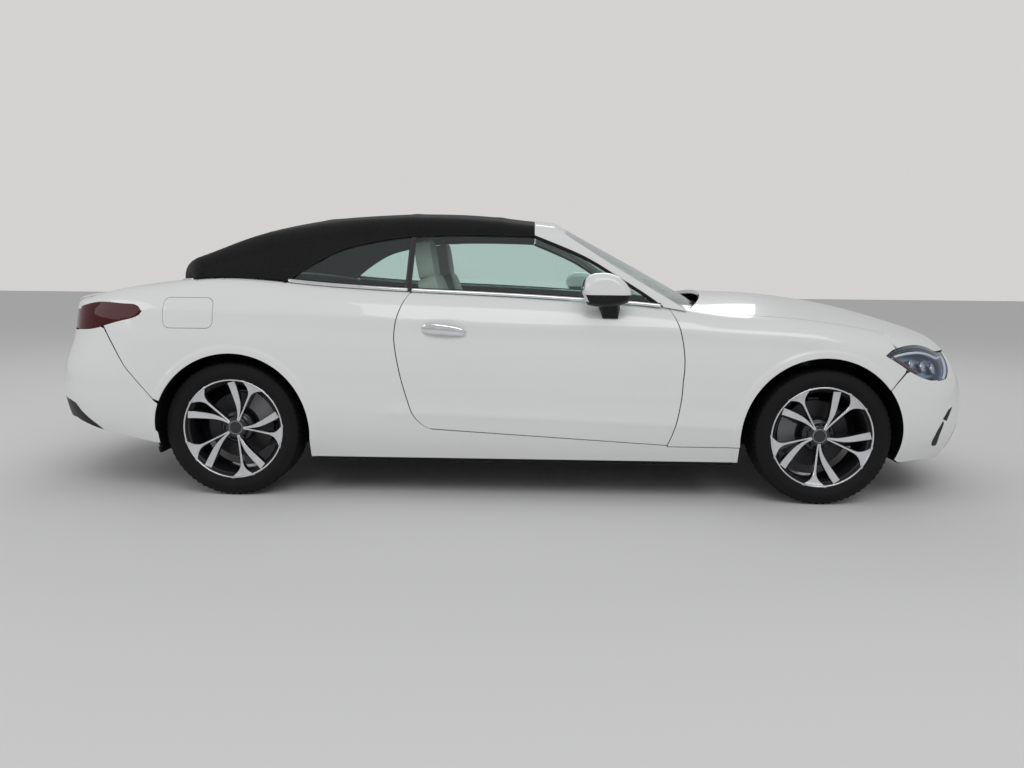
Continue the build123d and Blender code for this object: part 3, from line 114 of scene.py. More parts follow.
# ---------------------------------------------------------------- curves
class Curve:
    """A natural cubic curve through the stations of a table."""

    def __init__(self, xs, ys):
        xs, ys = np.array(xs, float), np.array(ys, float)
        order = np.argsort(xs)
        self.x, self.y = xs[order], ys[order]
        step = np.diff(self.x)
        n = len(self.x)
        system, load = np.eye(n), np.zeros(n)
        for i in range(1, n - 1):
            system[i, i - 1:i + 2] = step[i - 1], 2 * (step[i - 1] + step[i]), step[i]
            load[i] = 6 * ((self.y[i + 1] - self.y[i]) / step[i] - (self.y[i] - self.y[i - 1]) / step[i - 1])
        self.bend = np.linalg.solve(system, load)

    def __call__(self, at):
        at = np.clip(np.asarray(at, float), self.x[0], self.x[-1])
        i = np.clip(np.searchsorted(self.x, at) - 1, 0, len(self.x) - 2)
        h = self.x[i + 1] - self.x[i]
        a, b = (self.x[i + 1] - at) / h, (at - self.x[i]) / h
        cubic = ((a ** 3 - a) * self.bend[i] + (b ** 3 - b) * self.bend[i + 1]) * h * h / 6
        return a * self.y[i] + b * self.y[i + 1] + cubic


def column(table, number):
    return [row[number] for row in table]


half_width, nose_x, tail_x = (Curve(column(LEVELS, 0), column(LEVELS, i)) for i in (1, 2, 3))
crown_z, crown_drop = (Curve(column(CROWN, 0), column(CROWN, i)) for i in (1, 2))
rail_z, shoulder_y, shoulder_z, roof_z = (Curve(column(HOUSE, 0), column(HOUSE, i)) for i in (1, 2, 3, 4))
upper_crease, lower_crease = (Curve(column(t, 0), column(t, 1)) for t in (UPPER_CREASE, LOWER_CREASE))
# Character lines: curve, height and reach of the crest, height, place and width of the hollow, and span.
CREASES = (
    (upper_crease, 4.5, 60, -3.5, -75, 45, UPPER_SPAN),
    (lower_crease, 4.5, 52, -5.0, 78, 52, LOWER_SPAN),
)


def corner_table(corner):
    """Dense (distance back, share of half width) values of a smooth plan corner."""
    points = [(corner[0][0], -corner[0][1])] + [(0, 0.0)] + list(corner)
    xy = np.array([(d, s * NOMINAL_HALF_W) for d, s in points], float)
    along = np.concatenate([[0], np.cumsum(np.hypot(*np.diff(xy, axis=0).T))])
    t = np.linspace(along[1], along[-2], 900)
    back, across = Curve(along, xy[:, 0])(t), Curve(along, xy[:, 1])(t)
    return np.maximum.accumulate(back - back[0]), np.maximum.accumulate(across / NOMINAL_HALF_W)


NOSE_TABLE, TAIL_TABLE = corner_table(NOSE_CORNER), corner_table(TAIL_CORNER)


def smoothstep(low, high, at):
    t = np.clip((at - low) / (high - low), 0, 1)
    return t * t * (3 - 2 * t)


def window(at, low, high, fade):
    """One between two values, fading to nothing outside them."""
    return smoothstep(low - fade, low, at) * (1 - smoothstep(high, high + fade, at))


def side_relief(x, z):
    """What the side's character lines, arch lips and handle cup add to the half width."""
    relief = 0.0
    for line, crest_h, crest_w, hollow_h, hollow_at, hollow_w, span in CREASES:
        above = z - line(x)
        crest = np.clip(1 - np.abs(above) / crest_w, 0, 1) ** 2 * crest_h
        hollow = hollow_h * np.exp(-((above - hollow_at) / hollow_w) ** 2)
        relief = relief + (crest + hollow) * window(x, *span)
    for centre_x, centre_z, radius in ARCHES:
        out = np.hypot(x - centre_x, z - centre_z) - radius
        relief = relief + FLARE[0] * (1 - smoothstep(FLARE[1], FLARE[2], out))
    cup_x, cup_z, cup_l, cup_h, depth = HANDLE_CUP
    relief = relief - depth * np.exp(-(((x - cup_x) / cup_l) ** 2 + ((z - cup_z) / cup_h) ** 2) ** 2)
    return relief


def corner_share(x, z):
    """Share of the half width that the nose and tail corners leave."""
    return np.interp(nose_x(z) - x, *NOSE_TABLE) * np.interp(x - tail_x(z), *TAIL_TABLE)


def half_reach(x, z):
    """Half width of the lower body at a station and a height."""
    share = corner_share(x, z)
    return half_width(z) * share + side_relief(x, z) * np.clip(share * 1.2 - 0.2, 0, 1)


def end_distance(x, y, z):
    """Distance inside the nose or the tail, whichever is nearer, along x."""
    share = np.clip(np.abs(y) / half_width(z), 0, 0.9999)
    front = nose_x(z) - np.interp(share, NOSE_TABLE[1], NOSE_TABLE[0]) - x
    back = x - tail_x(z) - np.interp(share, TAIL_TABLE[1], TAIL_TABLE[0])
    return np.where(x > 0, front, back)


PROBE = 1.5  # step over which slopes are measured
STEEPEST = 3600.0  # highest squared slope that is taken into account
TURN_START = 0.12  # turn of the plan corner from which depth is measured along the car


def sloped(field, at, axes, step=PROBE):
    """A field's value divided by the steepness that it has along some axes."""
    value = field(*at)
    steep = 1.0
    for axis in axes:
        moved = list(at)
        moved[axis] = moved[axis] + step
        steep = steep + ((field(*moved) - value) / step) ** 2
    return value, steep


def top_z(x, y):
    return crown_z(x) - crown_drop(x) * (y / CROWN_AT) ** 2


def lower_body(p):
    """Signed depth inside the lower body's smooth outer surface, for an array of points."""
    x, y, z = p[:, 0], p[:, 1], p[:, 2]
    reach, steep = sloped(half_reach, (x, z), (0, 1))
    turn = np.abs(corner_share(x + PROBE, z) - corner_share(x, z)) * half_width(z) / PROBE
    slope = np.clip(turn - TURN_START, 0, math.sqrt(STEEPEST)) ** 2
    along_y = (reach - np.abs(y)) / np.sqrt(np.minimum(steep, STEEPEST))
    end, steep_end = sloped(end_distance, (x, y, z), (1, 2))
    along_x = end / np.sqrt(np.minimum(steep_end, STEEPEST))
    weight = slope / (1 + slope)
    side = along_y * (1 - weight) + along_x * weight
    side = np.where((x > nose_x(z)) | (x < tail_x(z)), -np.abs(side) - 1, side)
    top, steep_top = sloped(top_z, (x, y), (0, 1))
    up = (top - z) / np.sqrt(steep_top)
    k = np.interp(x, column(BLEND, 0), column(BLEND, 1))
    near = np.clip(1 - np.abs(side - up) / k, 0, 1)
    return np.minimum(side, up) - near ** 2 * k / 4


def side_y(z):
    """Half width of the side glass plane at a height."""
    return GLASS_FOOT[0] - (z - GLASS_FOOT[1]) * GLASS_LEAN


# ---------------------------------------------------------------- rays and charts
RAY_REACH, HALVINGS = 3000.0, 36
# Where view rays start inside the body and inside the glasshouse: from the side, from above, at the ends.
BODY_STARTS, HOUSE_STARTS = (-300, 560, 1500), (-100, 900, 900)


def hit(field, origins, directions):
    """Where rays that start inside a field leave it."""
    low, high = np.zeros(len(origins)), np.full(len(origins), RAY_REACH)
    for _ in range(HALVINGS):
        middle = (low + high) / 2
        inside = field(origins + directions * middle[:, None]) > 0
        low, high = np.where(inside, middle, low), np.where(inside, high, middle)
    return origins + directions * low[:, None]


def lift(view, points, field=lower_body):
    """Right-hand surface points from a side (x, z), top (x, y), front or rear (y, z) view."""
    a, b = np.array(points, float).T
    zero = np.zeros(len(a))
    side_start, top_start, end_start = BODY_STARTS if field is lower_body else HOUSE_STARTS
    origins, direction = {
        "side": ((a, zero + side_start, b), (0, -1, 0)),
        "top": ((a, b, zero + top_start), (0, 0, 1)),
        "front": ((zero + end_start, a, b), (1, 0, 0)),
        "rear": ((zero - end_start, a, b), (-1, 0, 0)),
    }[view]
    return hit(field, np.stack(origins, 1), np.tile(np.array(direction, float), (len(a), 1)))


class AxleChart:
    """Rays square to a lengthwise line: flat coordinates are x and turn about the line."""

    def __init__(self, y, z, scale):
        self.y, self.z, self.scale = y, z, scale

    def flat(self, p):
        return np.stack([p[:, 0], np.arctan2(p[:, 1] - self.y, p[:, 2] - self.z) * self.scale], 1)

    def surface(self, uv, field=lower_body):
        turn = uv[:, 1] / self.scale
        origins = np.stack([uv[:, 0], np.full(len(uv), self.y), np.full(len(uv), self.z)], 1)
        return hit(field, origins, np.stack([np.zeros(len(uv)), np.sin(turn), np.cos(turn)], 1))


class BallChart:
    """Rays from one point: flat coordinates are azimuth from the car's end, and elevation."""

    def __init__(self, x, z, sense, scale):
        self.x, self.z, self.sense, self.scale = x, z, sense, scale

    def flat(self, p):
        along, across, up = (p[:, 0] - self.x) * self.sense, p[:, 1], p[:, 2] - self.z
        return np.stack([np.arctan2(across, along), np.arctan2(up, np.hypot(along, across))], 1) * self.scale

    def surface(self, uv, field=lower_body):
        azimuth, rise = uv.T / self.scale
        flat = np.cos(rise)
        directions = np.stack([np.cos(azimuth) * flat * self.sense, np.sin(azimuth) * flat, np.sin(rise)], 1)
        origins = np.tile(np.array([self.x, 0.0, self.z]), (len(uv), 1))
        return hit(field, origins, directions)


SIDE_CHART = AxleChart(-430.0, 620.0, 430.0)
TOP_CHART = AxleChart(0.0, 0.0, 950.0)
NOSE_CHART = BallChart(1650.0, 520.0, 1, 760.0)
TAIL_CHART = BallChart(-1600.0, 600.0, -1, 820.0)


# ---------------------------------------------------------------- outlines
def straight(points, step=12.0):
    """Points along straight runs, with the last point left out."""
    found = []
    for a, b in zip(points, points[1:]):
        count = max(1, int(math.dist(a, b) / step))
        found += [tuple(a[i] + (b[i] - a[i]) * n / count for i in range(len(a))) for n in range(count)]
    return found


def arc(a, b, c, step=12.0):
    """Points along the arc through three points, with the last point left out."""
    (ax, ay), (bx, by), (cx, cy) = a, b, c
    d = 2 * (ax * (by - cy) + bx * (cy - ay) + cx * (ay - by))
    if abs(d) < 1e-6:
        return straight([a, c], step)
    aa, bb, cc = ax * ax + ay * ay, bx * bx + by * by, cx * cx + cy * cy
    ux = (aa * (by - cy) + bb * (cy - ay) + cc * (ay - by)) / d
    uy = (aa * (cx - bx) + bb * (ax - cx) + cc * (bx - ax)) / d
    first, mid, last = (math.atan2(y - uy, x - ux) for x, y in (a, b, c))
    sweep = (last - first) % math.tau
    if not 0 < (mid - first) % math.tau < sweep:
        sweep -= math.tau
    radius = math.hypot(ax - ux, ay - uy)
    count = max(2, int(abs(sweep) * radius / step))
    turns = [first + sweep * n / count for n in range(count)]
    return [(ux + radius * math.cos(t), uy + radius * math.sin(t)) for t in turns]


def round_arch(number, start, end, grow=0.0):
    """Points round a wheel opening between two angles in degrees."""
    x, z, radius = ARCHES[number]
    count = int(abs(math.radians(end - start)) * radius / 12)
    turns = [math.radians(start + (end - start) * n / count) for n in range(count)]
    return [(x + (radius + grow) * math.cos(t), z + (radius + grow) * math.sin(t)) for t in turns]


def from_above(points):
    """A stretch of the right-hand outline in top view, from x and half width."""
    return ("top", [(x, -y) for x, y in points])


def from_end(view, points):
    """A stretch of the right-hand outline in front or rear view, from half width and z."""
    return (view, [(-y, z) for y, z in points])


def rounded(x, z, length, height, radius, step=6.0):
    """A rounded rectangle in side view."""
    found = []
    for sx, sz, turn in ((1, 1, 0), (-1, 1, 90), (-1, -1, 180), (1, -1, 270)):
        cx, cz = x + sx * (length / 2 - radius), z + sz * (height / 2 - radius)
        for n in range(7):
            t = math.radians(turn + n * 15)
            found.append((cx + radius * math.cos(t), cz + radius * math.sin(t)))
    return straight(found + found[:1], step)


def in_polygon(points, polygon):
    """Which points lie inside a closed polygon."""
    x, y = points[:, 0][:, None], points[:, 1][:, None]
    x0, y0 = polygon[:, 0], polygon[:, 1]
    x1, y1 = np.roll(x0, -1), np.roll(y0, -1)
    crosses = (y0 > y) != (y1 > y)
    with np.errstate(divide="ignore", invalid="ignore"):
        at = x0 + (y - y0) * (x1 - x0) / (y1 - y0)
    return (crosses & (x < at)).sum(1) % 2 == 1


def within(points, outlines):
    """The points inside an outline and outside its holes."""
    for number, outline in enumerate(outlines):
        inside = in_polygon(points, outline)
        points = points[inside if number == 0 else ~inside]
    return points


def thinned(points, others, gap):
    """The points that lie further than a gap from the others."""
    apart = np.full(len(points), np.inf)
    for block in np.array_split(others, max(1, len(others) // 200)):
        if len(block) and len(points):
            apart = np.minimum(apart, np.hypot(*(points[:, None] - block[None]).transpose(2, 0, 1)).min(1))
    return points[apart > gap]


def triangle_grid(low, high, step):
    """Points of a triangular grid over a box."""
    rows = []
    for n, v in enumerate(np.arange(low[1], high[1], step * 0.87)):
        across = np.arange(low[0] + (n % 2) * step / 2, high[0], step)
        rows.append(np.column_stack([across, np.full(len(across), v)]))
    return np.concatenate(rows)


def fill(outlines, step, guides=()):
    """Triangles over a flat outline with holes: its points, and index triples that turn left."""
    edges, start = [], 0
    for loop in outlines:
        edges += [(start + n, start + (n + 1) % len(loop)) for n in range(len(loop))]
        start += len(loop)
    rim = np.concatenate(outlines)
    grid = triangle_grid(rim.min(0), rim.max(0), step)
    lines = [g for g in guides if len(g)]
    extra = np.concatenate(lines) if lines else np.zeros((0, 2))
    extra = thinned(within(extra, outlines), rim, step * 0.3)
    grid = thinned(within(grid, outlines), np.concatenate([rim, extra]), step * 0.55)
    points = np.concatenate([rim, extra, grid])
    found = delaunay_2d_cdt([Vector(p) for p in points], edges, [], 0, 1e-4)
    flat = np.array([tuple(p) for p in found[0]])
    triangles = np.array([tuple(f) for f in found[2]])
    middle = flat[triangles].mean(1)
    keep = in_polygon(middle, outlines[0])
    for hole in outlines[1:]:
        keep &= ~in_polygon(middle, hole)
    triangles = triangles[keep]
    a, b, c = (flat[triangles[:, i]] for i in range(3))
    turn = (b[:, 0] - a[:, 0]) * (c[:, 1] - a[:, 1]) - (b[:, 1] - a[:, 1]) * (c[:, 0] - a[:, 0])
    triangles[turn < 0] = triangles[turn < 0][:, ::-1]
    return flat, triangles


def normals_of(field, p, step=1.0):
    """Outward unit normals of a depth field."""
    slope = np.stack([field(p + np.eye(3)[i] * step) - field(p - np.eye(3)[i] * step) for i in range(3)], 1)
    return -slope / np.maximum(np.linalg.norm(slope, axis=1), 1e-9)[:, None]


# ---------------------------------------------------------------- meshes
def mesh_object(name, points, faces, materials, smooth=True, picks=None):
    """A mesh object from points in millimetres."""
    mesh = bpy.data.meshes.new(name)
    mesh.from_pydata((np.asarray(points) * MM).tolist(), [], [tuple(int(i) for i in f) for f in faces])
    for material in materials:
        mesh.materials.append(material)
    if picks is not None:
        mesh.polygons.foreach_set("material_index", np.asarray(picks, np.int32))
    mesh.polygons.foreach_set("use_smooth", [smooth] * len(mesh.polygons))
    mesh.update()
    return linked(name, mesh)


def linked(name, data):
    """A new object in the scene."""
    piece = bpy.data.objects.new(name, data)
    bpy.context.scene.collection.objects.link(piece)
    return piece


def from_bmesh(name, made, material=None):
    """A new object from a bmesh, shaded smooth where it has a material of its own."""
    mesh = bpy.data.meshes.new(name)
    made.to_mesh(mesh)
    made.free()
    if material:
        mesh.materials.append(material)
        mesh.polygons.foreach_set("use_smooth", [True] * len(mesh.polygons))
    return linked(name, mesh)


def edited(piece, work):
    """Run some work on a piece's mesh, and return the piece."""
    made = bmesh.new()
    made.from_mesh(piece.data)
    work(made)
    made.to_mesh(piece.data)
    made.free()
    return piece


def outwards(piece):
    """Turn every face outwards."""
    return edited(piece, lambda made: bmesh.ops.recalc_face_normals(made, faces=made.faces))


def ring_faces(count, sides):
    """Faces of a bar: a skin through a count of rings of points, and a cap on both ends."""
    faces = []
    for ring in range(count - 1):
        for k in range(sides):
            a, b = ring * sides + k, ring * sides + (k + 1) % sides
            faces.append((a, b, b + sides, a + sides))
    return faces + [tuple(range(sides)), tuple(range((count - 1) * sides, count * sides))[::-1]]


def bar(name, rows, material, body, side=1):
    """A closed bar from its lengthwise rows of points."""
    points = np.array(rows).transpose(1, 0, 2)
    faces = ring_faces(*points.shape[:2])
    piece = outwards(mesh_object(name, points.reshape(-1, 3) * [1, side, 1], faces, [material]))
    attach(piece, body)
    return piece


def add_edge_finish(piece, width, angle=50.0, segments=2):
    """Small rounded edges, with the shading kept flat across the large faces."""
    bevel = piece.modifiers.new("edges", "BEVEL")
    bevel.width, bevel.segments, bevel.limit_method = width * MM, segments, "ANGLE"
    bevel.angle_limit = math.radians(angle)
    weighted = piece.modifiers.new("shading", "WEIGHTED_NORMAL")
    weighted.keep_sharp = True
    return piece


def closed_shell(triangles, outer, inner):
    """A closed shell: its points, its faces (outer, inner and rim), and the number of outer faces."""
    count = len(outer)
    edges = np.concatenate([triangles[:, [0, 1]], triangles[:, [1, 2]], triangles[:, [2, 0]]])
    key = {tuple(e) for e in edges.tolist()}
    rim = [(a, b) for a, b in key if (b, a) not in key]
    faces = triangles.tolist() + (triangles[:, ::-1] + count).tolist()
    faces += [(b, a, a + count, b + count) for a, b in rim]
    return np.concatenate([outer, inner]), faces, len(triangles)


def skin_panel(name, chart, outlines, thickness, materials, body, node=None, side=1, step=16.0, edge=1.6,
               field=lower_body, inner_y=None, lift_out=0.0, guides=()):
    """A closed panel on a surface: its outlines are lists of (view, points) or arrays of surface points."""
    loops = []
    for outline in outlines:
        if isinstance(outline, np.ndarray):
            loops.append(chart.flat(outline))
        else:
            loops.append(chart.flat(np.concatenate([lift(v, pts, field) for v, pts in outline if len(pts)])))
    flat, triangles = fill(loops, step, [chart.flat(lift(v, pts, field)) for v, pts in guides])
    outer = chart.surface(flat, field)
    normal = normals_of(field, outer)
    outer = outer + normal * lift_out
    inner = outer - normal * thickness
    if inner_y is not None:
        inner = np.stack([outer[:, 0], np.full(len(outer), -inner_y), outer[:, 2]], 1)
        inner = np.where(outer[:, [1]] > -inner_y - 4, outer - normal * 4.0, inner)
    points, faces, front = closed_shell(triangles, outer, inner)
    a, b, c = (outer[triangles[0][i]] for i in range(3))
    if np.dot(np.cross(b - a, c - a), normal[triangles[0][0]]) < 0:
        faces = [f[::-1] for f in faces]
    if side < 0:
        points = points * [1, -1, 1]
        faces = [f[::-1] for f in faces]
    last = len(materials) - 1
    picks = [0] * front + [last] * front + [min(1, last)] * (len(faces) - 2 * front)
    piece = mesh_object(name, points, faces, materials, picks=picks)
    if edge:
        add_edge_finish(piece, edge)
    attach(piece, body)
    if node:
        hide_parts(node)
    return piece


# ---------------------------------------------------------------- finishes
class Wire:
    """A shader socket that takes part in Python expressions."""

    def __init__(self, tree, socket):
        self.tree, self.socket = tree, socket

    def maths(self, operation, first, second=None):
        node = self.tree.nodes.new("ShaderNodeMath")
        node.operation = operation
        for slot_number, value in enumerate((first, second)):
            if value is not None:
                plug(self.tree, node.inputs[slot_number], value)
        return Wire(self.tree, node.outputs[0])

    def __add__(self, other):
        return self.maths("ADD", self, other)

    def __sub__(self, other):
        return self.maths("SUBTRACT", self, other)

    def __rsub__(self, other):
        return self.maths("SUBTRACT", other, self)

    def __mul__(self, other):
        return self.maths("MULTIPLY", self, other)

    def __truediv__(self, other):
        return self.maths("DIVIDE", self, other)

    __radd__, __rmul__ = __add__, __mul__

    def __pow__(self, other):
        return self.maths("POWER", self, other)


def plug(tree, socket, value):
    """Link a wire to a socket, or set the socket's own value."""
    if isinstance(value, Wire):
        tree.links.new(value.socket, socket)
    else:
        socket.default_value = value


class Finish:
    """One material: constants go to the shader's sockets and `node` adds any other node."""

    def __init__(self, name, colour, roughness, **constants):
        self.material = bpy.data.materials.new(name)
        self.material.use_nodes = True
        self.tree = self.material.node_tree
        self.shader = self.tree.nodes["Principled BSDF"]
        self.shader.inputs["Base Color"].default_value = (*colour, 1)
        self.shader.inputs["Roughness"].default_value = roughness
        self.material.diffuse_color = (*colour, 1)
        for socket, value in constants.items():
            self.shader.inputs[socket.replace("_", " ")].default_value = value

    def node(self, kind, sockets, output=0, **settings):
        """Add a node, set its settings first and then its sockets, and wrap one output."""
        made = self.tree.nodes.new("ShaderNode" + kind)
        for setting, value in settings.items():
            setattr(made, setting, value)
        for socket, value in sockets.items():
            plug(self.tree, made.inputs[socket], value)
        return Wire(self.tree, made.outputs[output])

    def place(self, stretch=(1, 1, 1), turn=(0, 0, 0)):
        """Object coordinates, stretched and turned."""
        where = self.node("TexCoord", {}, output=3)
        return self.node("Mapping", {"Vector": where, "Scale": stretch, "Rotation": turn})

    def noise(self, scale, detail=3.0, roughness=0.5, stretch=(1, 1, 1)):
        return self.node("TexNoise", {"Vector": self.place(stretch), "Scale": scale, "Detail": detail,
                                      "Roughness": roughness})

    def wave(self, scale, stretch=(1, 1, 1), direction="X", distortion=0.0):
        return self.node("TexWave", {"Vector": self.place(stretch), "Scale": scale, "Distortion": distortion},
                         output=1, wave_type="BANDS", bands_direction=direction)

    def ramp(self, value, low, high, start=0.0, end=1.0):
        """A wire brought from one range to another, and held there."""
        return self.node("MapRange", {"Value": value, "From Min": low, "From Max": high, "To Min": start,
                                      "To Max": end})

    def mix(self, factor, a, b):
        """Two colours mixed by a wire."""
        return self.node("Mix", {0: factor, 6: a, 7: b}, output=2, data_type="RGBA")

    def feed(self, socket, wire):
        self.tree.links.new(wire.socket, self.shader.inputs[socket])
        return self

    def tone(self, wire, colour, low, high):
        """Vary the colour between two shades of it."""
        return self.feed("Base Color", self.mix(wire, shade(colour, low), shade(colour, high)))

    def bump(self, height, strength, distance):
        made = self.node("Bump", {"Height": height, "Strength": strength, "Distance": distance})
        return self.feed("Normal", made)


def shade(colour, factor):
    return (*(min(1.0, part * factor) for part in colour), 1)


def paint_finish(colour):
    """Glossy paint under clear lacquer, with the faintest unevenness."""
    made = Finish("body_paint", colour, 0.28, Coat_Weight=1.0, Coat_Roughness=0.03)
    cloud = made.noise(1.3, 2.0)
    made.tone(made.ramp(cloud, 0.3, 0.7), colour, 0.985, 1.01)
    made.feed("Roughness", made.ramp(made.noise(900.0, 1.0), 0.3, 0.7, 0.24, 0.32))
    return made.material


def fabric_finish(colour):
    """Woven roof cloth: fine crossed ribs, with a little fading."""
    made = Finish("roof_fabric", colour, 0.85, Sheen_Weight=0.06, Sheen_Roughness=0.5, Specular_IOR_Level=0.2)
    ribs = made.wave(260.0, direction="X") * made.wave(260.0, direction="Y")
    fade = made.ramp(made.noise(3.0, 4.0), 0.3, 0.75)
    made.tone(fade * 0.5 + ribs * 0.5, colour, 0.75, 1.45)
    made.feed("Roughness", made.ramp(made.noise(60.0), 0.3, 0.7, 0.78, 0.92))
    return made.bump(ribs + made.noise(35.0, 4.0) * 0.5, 0.35, 0.0006).material


def rubber_finish(name, colour, roughness, grain=240.0):
    made = Finish(name, colour, roughness, Specular_IOR_Level=0.22)
    dust = made.ramp(made.noise(14.0, 5.0), 0.35, 0.75)
    made.tone(dust, colour, 0.8, 1.35)
    made.feed("Roughness", made.ramp(dust, 0.0, 1.0, roughness - 0.05, min(1.0, roughness + 0.06)))
    return made.bump(made.noise(grain, 2.0), 0.15, 0.0004).material


def plastic_finish(name, colour, roughness, coat=0.0, grain=420.0, depth=0.12):
    made = Finish(name, colour, roughness, Coat_Weight=coat, Coat_Roughness=0.04, Specular_IOR_Level=0.3)
    speck = made.noise(grain, 2.0)
    made.feed("Roughness", made.ramp(speck, 0.3, 0.7, max(0.02, roughness - 0.04), roughness + 0.05))
    made.tone(made.ramp(made.noise(5.0), 0.35, 0.7), colour, 0.9, 1.12)
    return made.bump(speck, depth, 0.0003).material


def metal_finish(name, colour, roughness, brushed=0.0, wear=0.06):
    """Bare or lacquered metal; brushed gives turned lines round a wheel's axle."""
    made = Finish(name, colour, roughness, Metallic=1.0)
    cloud = made.ramp(made.noise(22.0, 4.0), 0.3, 0.75)
    made.tone(cloud, colour, 0.9, 1.05)
    made.feed("Roughness", made.ramp(cloud, 0.0, 1.0, roughness, roughness + wear))
    if brushed:
        made.bump(made.noise(30.0, 2.0, stretch=(1, 24, 1)), brushed, 0.0003)
    return made.material


def glass_finish(name, tint, gloss):
    """See-through panes: a tinted clear shader under a glossy one."""
    made = Finish(name, (0.92, 0.93, 0.93), 0.02, Metallic=1.0)
    clear = made.tree.nodes.new("ShaderNodeBsdfTransparent")
    clear.inputs["Color"].default_value = (*tint, 1)
    mixed = made.tree.nodes.new("ShaderNodeMixShader")
    edge = made.node("LayerWeight", {"Blend": 0.5}, output=1)
    plug(made.tree, mixed.inputs[0], edge ** 5.0 * 0.9 + (0.04 + gloss))
    made.tree.links.new(clear.outputs[0], mixed.inputs[1])
    made.tree.links.new(made.shader.outputs[0], mixed.inputs[2])
    made.tree.links.new(mixed.outputs[0], made.tree.nodes["Material Output"].inputs["Surface"])
    return made.material


def leather_finish(name, colour, roughness=0.45):
    made = Finish(name, colour, roughness, Specular_IOR_Level=0.4, Sheen_Weight=0.08)
    grain = made.node("TexVoronoi", {"Vector": made.place(), "Scale": 330.0}, output=0)
    soil = made.ramp(made.noise(7.0, 4.0), 0.35, 0.75)
    made.tone(soil, colour, 0.9, 1.05)
    made.feed("Roughness", made.ramp(made.noise(40.0), 0.3, 0.7, roughness - 0.05, roughness + 0.08))
    return made.bump(grain, 0.25, 0.0006).material


def floor_finish(colour):
    """A plain pale floor, evenly matt."""
    made = Finish("studio_floor", colour, 0.9, Specular_IOR_Level=0.1)
    made.feed("Roughness", made.ramp(made.noise(60.0, 1.0), 0.3, 0.7, 0.88, 0.92))
    return made.material


def lens_finish(name, colour, clear):
    """A lamp lens: coloured plastic that is partly seen through."""
    made = glass_finish(name, clear, 0.25)
    shader = made.node_tree.nodes["Principled BSDF"]
    shader.inputs["Base Color"].default_value = (*colour, 1)
    shader.inputs["Metallic"].default_value = 0.0
    shader.inputs["Coat Weight"].default_value = 1.0
    return made


FINISHES = {}  # filled by make_finishes


def coat(*names):
    """The materials of some finishes."""
    return [FINISHES[name] for name in names]


def make_finishes(look):
    FINISHES.update(
        paint=paint_finish(tuple(look.paint)),
        fabric=fabric_finish(tuple(look.roof)),
        seal=rubber_finish("rubber_seal", (0.006, 0.006, 0.0065), 0.6),
        tyre=rubber_finish("tyre_rubber", (0.0075, 0.0075, 0.008), 0.7, 160.0),
        gloss_black=plastic_finish("gloss_black", (0.008, 0.008, 0.009), 0.12, 1.0, 700.0, 0.02),
        black=plastic_finish("black_plastic", (0.006, 0.006, 0.0065), 0.45),
        glass=glass_finish("side_glass", (0.885, 0.965, 0.945), 0.01),
        clear=glass_finish("clear_lens", (0.95, 0.97, 0.99), 0.0),
        red_lens=lens_finish("red_lens", (0.16, 0.004, 0.008), (0.55, 0.03, 0.04)),
        red_glow=plastic_finish("lamp_red_light_guide", (0.42, 0.01, 0.012), 0.2, 1.0),
        chrome=metal_finish("bright_trim", (0.86, 0.87, 0.88), 0.08, wear=0.05),
        alloy=metal_finish("machined_alloy", (0.80, 0.81, 0.83), 0.2, 0.12),
        alloy_dark=plastic_finish("alloy_black_lacquer", (0.012, 0.012, 0.014), 0.3, 0.8, 500.0, 0.05),
        # Disc and caliper colours are set well below their metals' own tones: painted shade for the shadow
        # inside the wheels.
        disc=metal_finish("disc_steel", (0.055, 0.055, 0.058), 0.42, 0.3),
        caliper=metal_finish("caliper_grey_painted_shade", (0.24, 0.245, 0.25), 0.5),
        cast=metal_finish("cast_alloy", (0.30, 0.30, 0.31), 0.55, wear=0.15),
        steel=rubber_finish("underbody_steel", (0.01, 0.01, 0.0105), 0.6, 90.0),
        exhaust=metal_finish("exhaust_steel", (0.36, 0.34, 0.31), 0.38, wear=0.2),
        leather=leather_finish("seat_leather_light", (0.52, 0.50, 0.47)),
        dark_leather=leather_finish("leather_black", (0.022, 0.021, 0.021)),
        soft_trim=plastic_finish("dash_soft_trim", (0.02, 0.02, 0.021), 0.62, 0.0, 260.0, 0.3),
        carpet=rubber_finish("carpet", (0.02, 0.02, 0.02), 0.95, 600.0),
        reflector=metal_finish("lamp_reflector", (0.75, 0.78, 0.82), 0.12),
        lamp_bowl=metal_finish("lamp_bowl", (0.34, 0.42, 0.56), 0.3),
        side_marker=plastic_finish("lamp_side_marker", (0.13, 0.045, 0.03), 0.25, 0.8),
        white_guide=plastic_finish("lamp_white_light_guide", (0.80, 0.88, 0.98), 0.2, 0.6),
        mirror=metal_finish("mirror_glass", (0.7, 0.72, 0.74), 0.03),
        screen_panel=plastic_finish("screen_panel", (0.006, 0.007, 0.009), 0.08, 1.0, 700.0, 0.0),
        floor=floor_finish((0.72, 0.72, 0.72)),
    )


def dress_node(node, name):
    """Give a node that stays its finish."""
    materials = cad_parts[node].data.materials
    materials.clear()
    materials.append(FINISHES[name])


# ---------------------------------------------------------------- painted panels
def shut_line(arcs, shift):
    """Points along a table of arcs, shifted along the car."""
    found = [point for stretch in arcs for point in arc(*stretch)] + [arcs[-1][2]]
    return [(x + shift, z) for x, z in found]


def door_front(shift):
    """The door's front shut line from the belt down."""
    return shut_line(DOOR_FRONT, shift)


def door_rear(shift):
    """The door's rear shut line from the sill up."""
    return shut_line(DOOR_REAR, shift)


BONNET_HALF_W = 805.0
BONNET_REAR = (1040.0, 880.0)  # rear edge x on the centre line and at the sides
COWL_HALF_W = 745.0
SILL_TOP_Z, SILL_Z = 284.0, 204.0
BELT_Y = 834.0  # half width at the belt, outside the glass
BELT_INNER_Y = 772.0
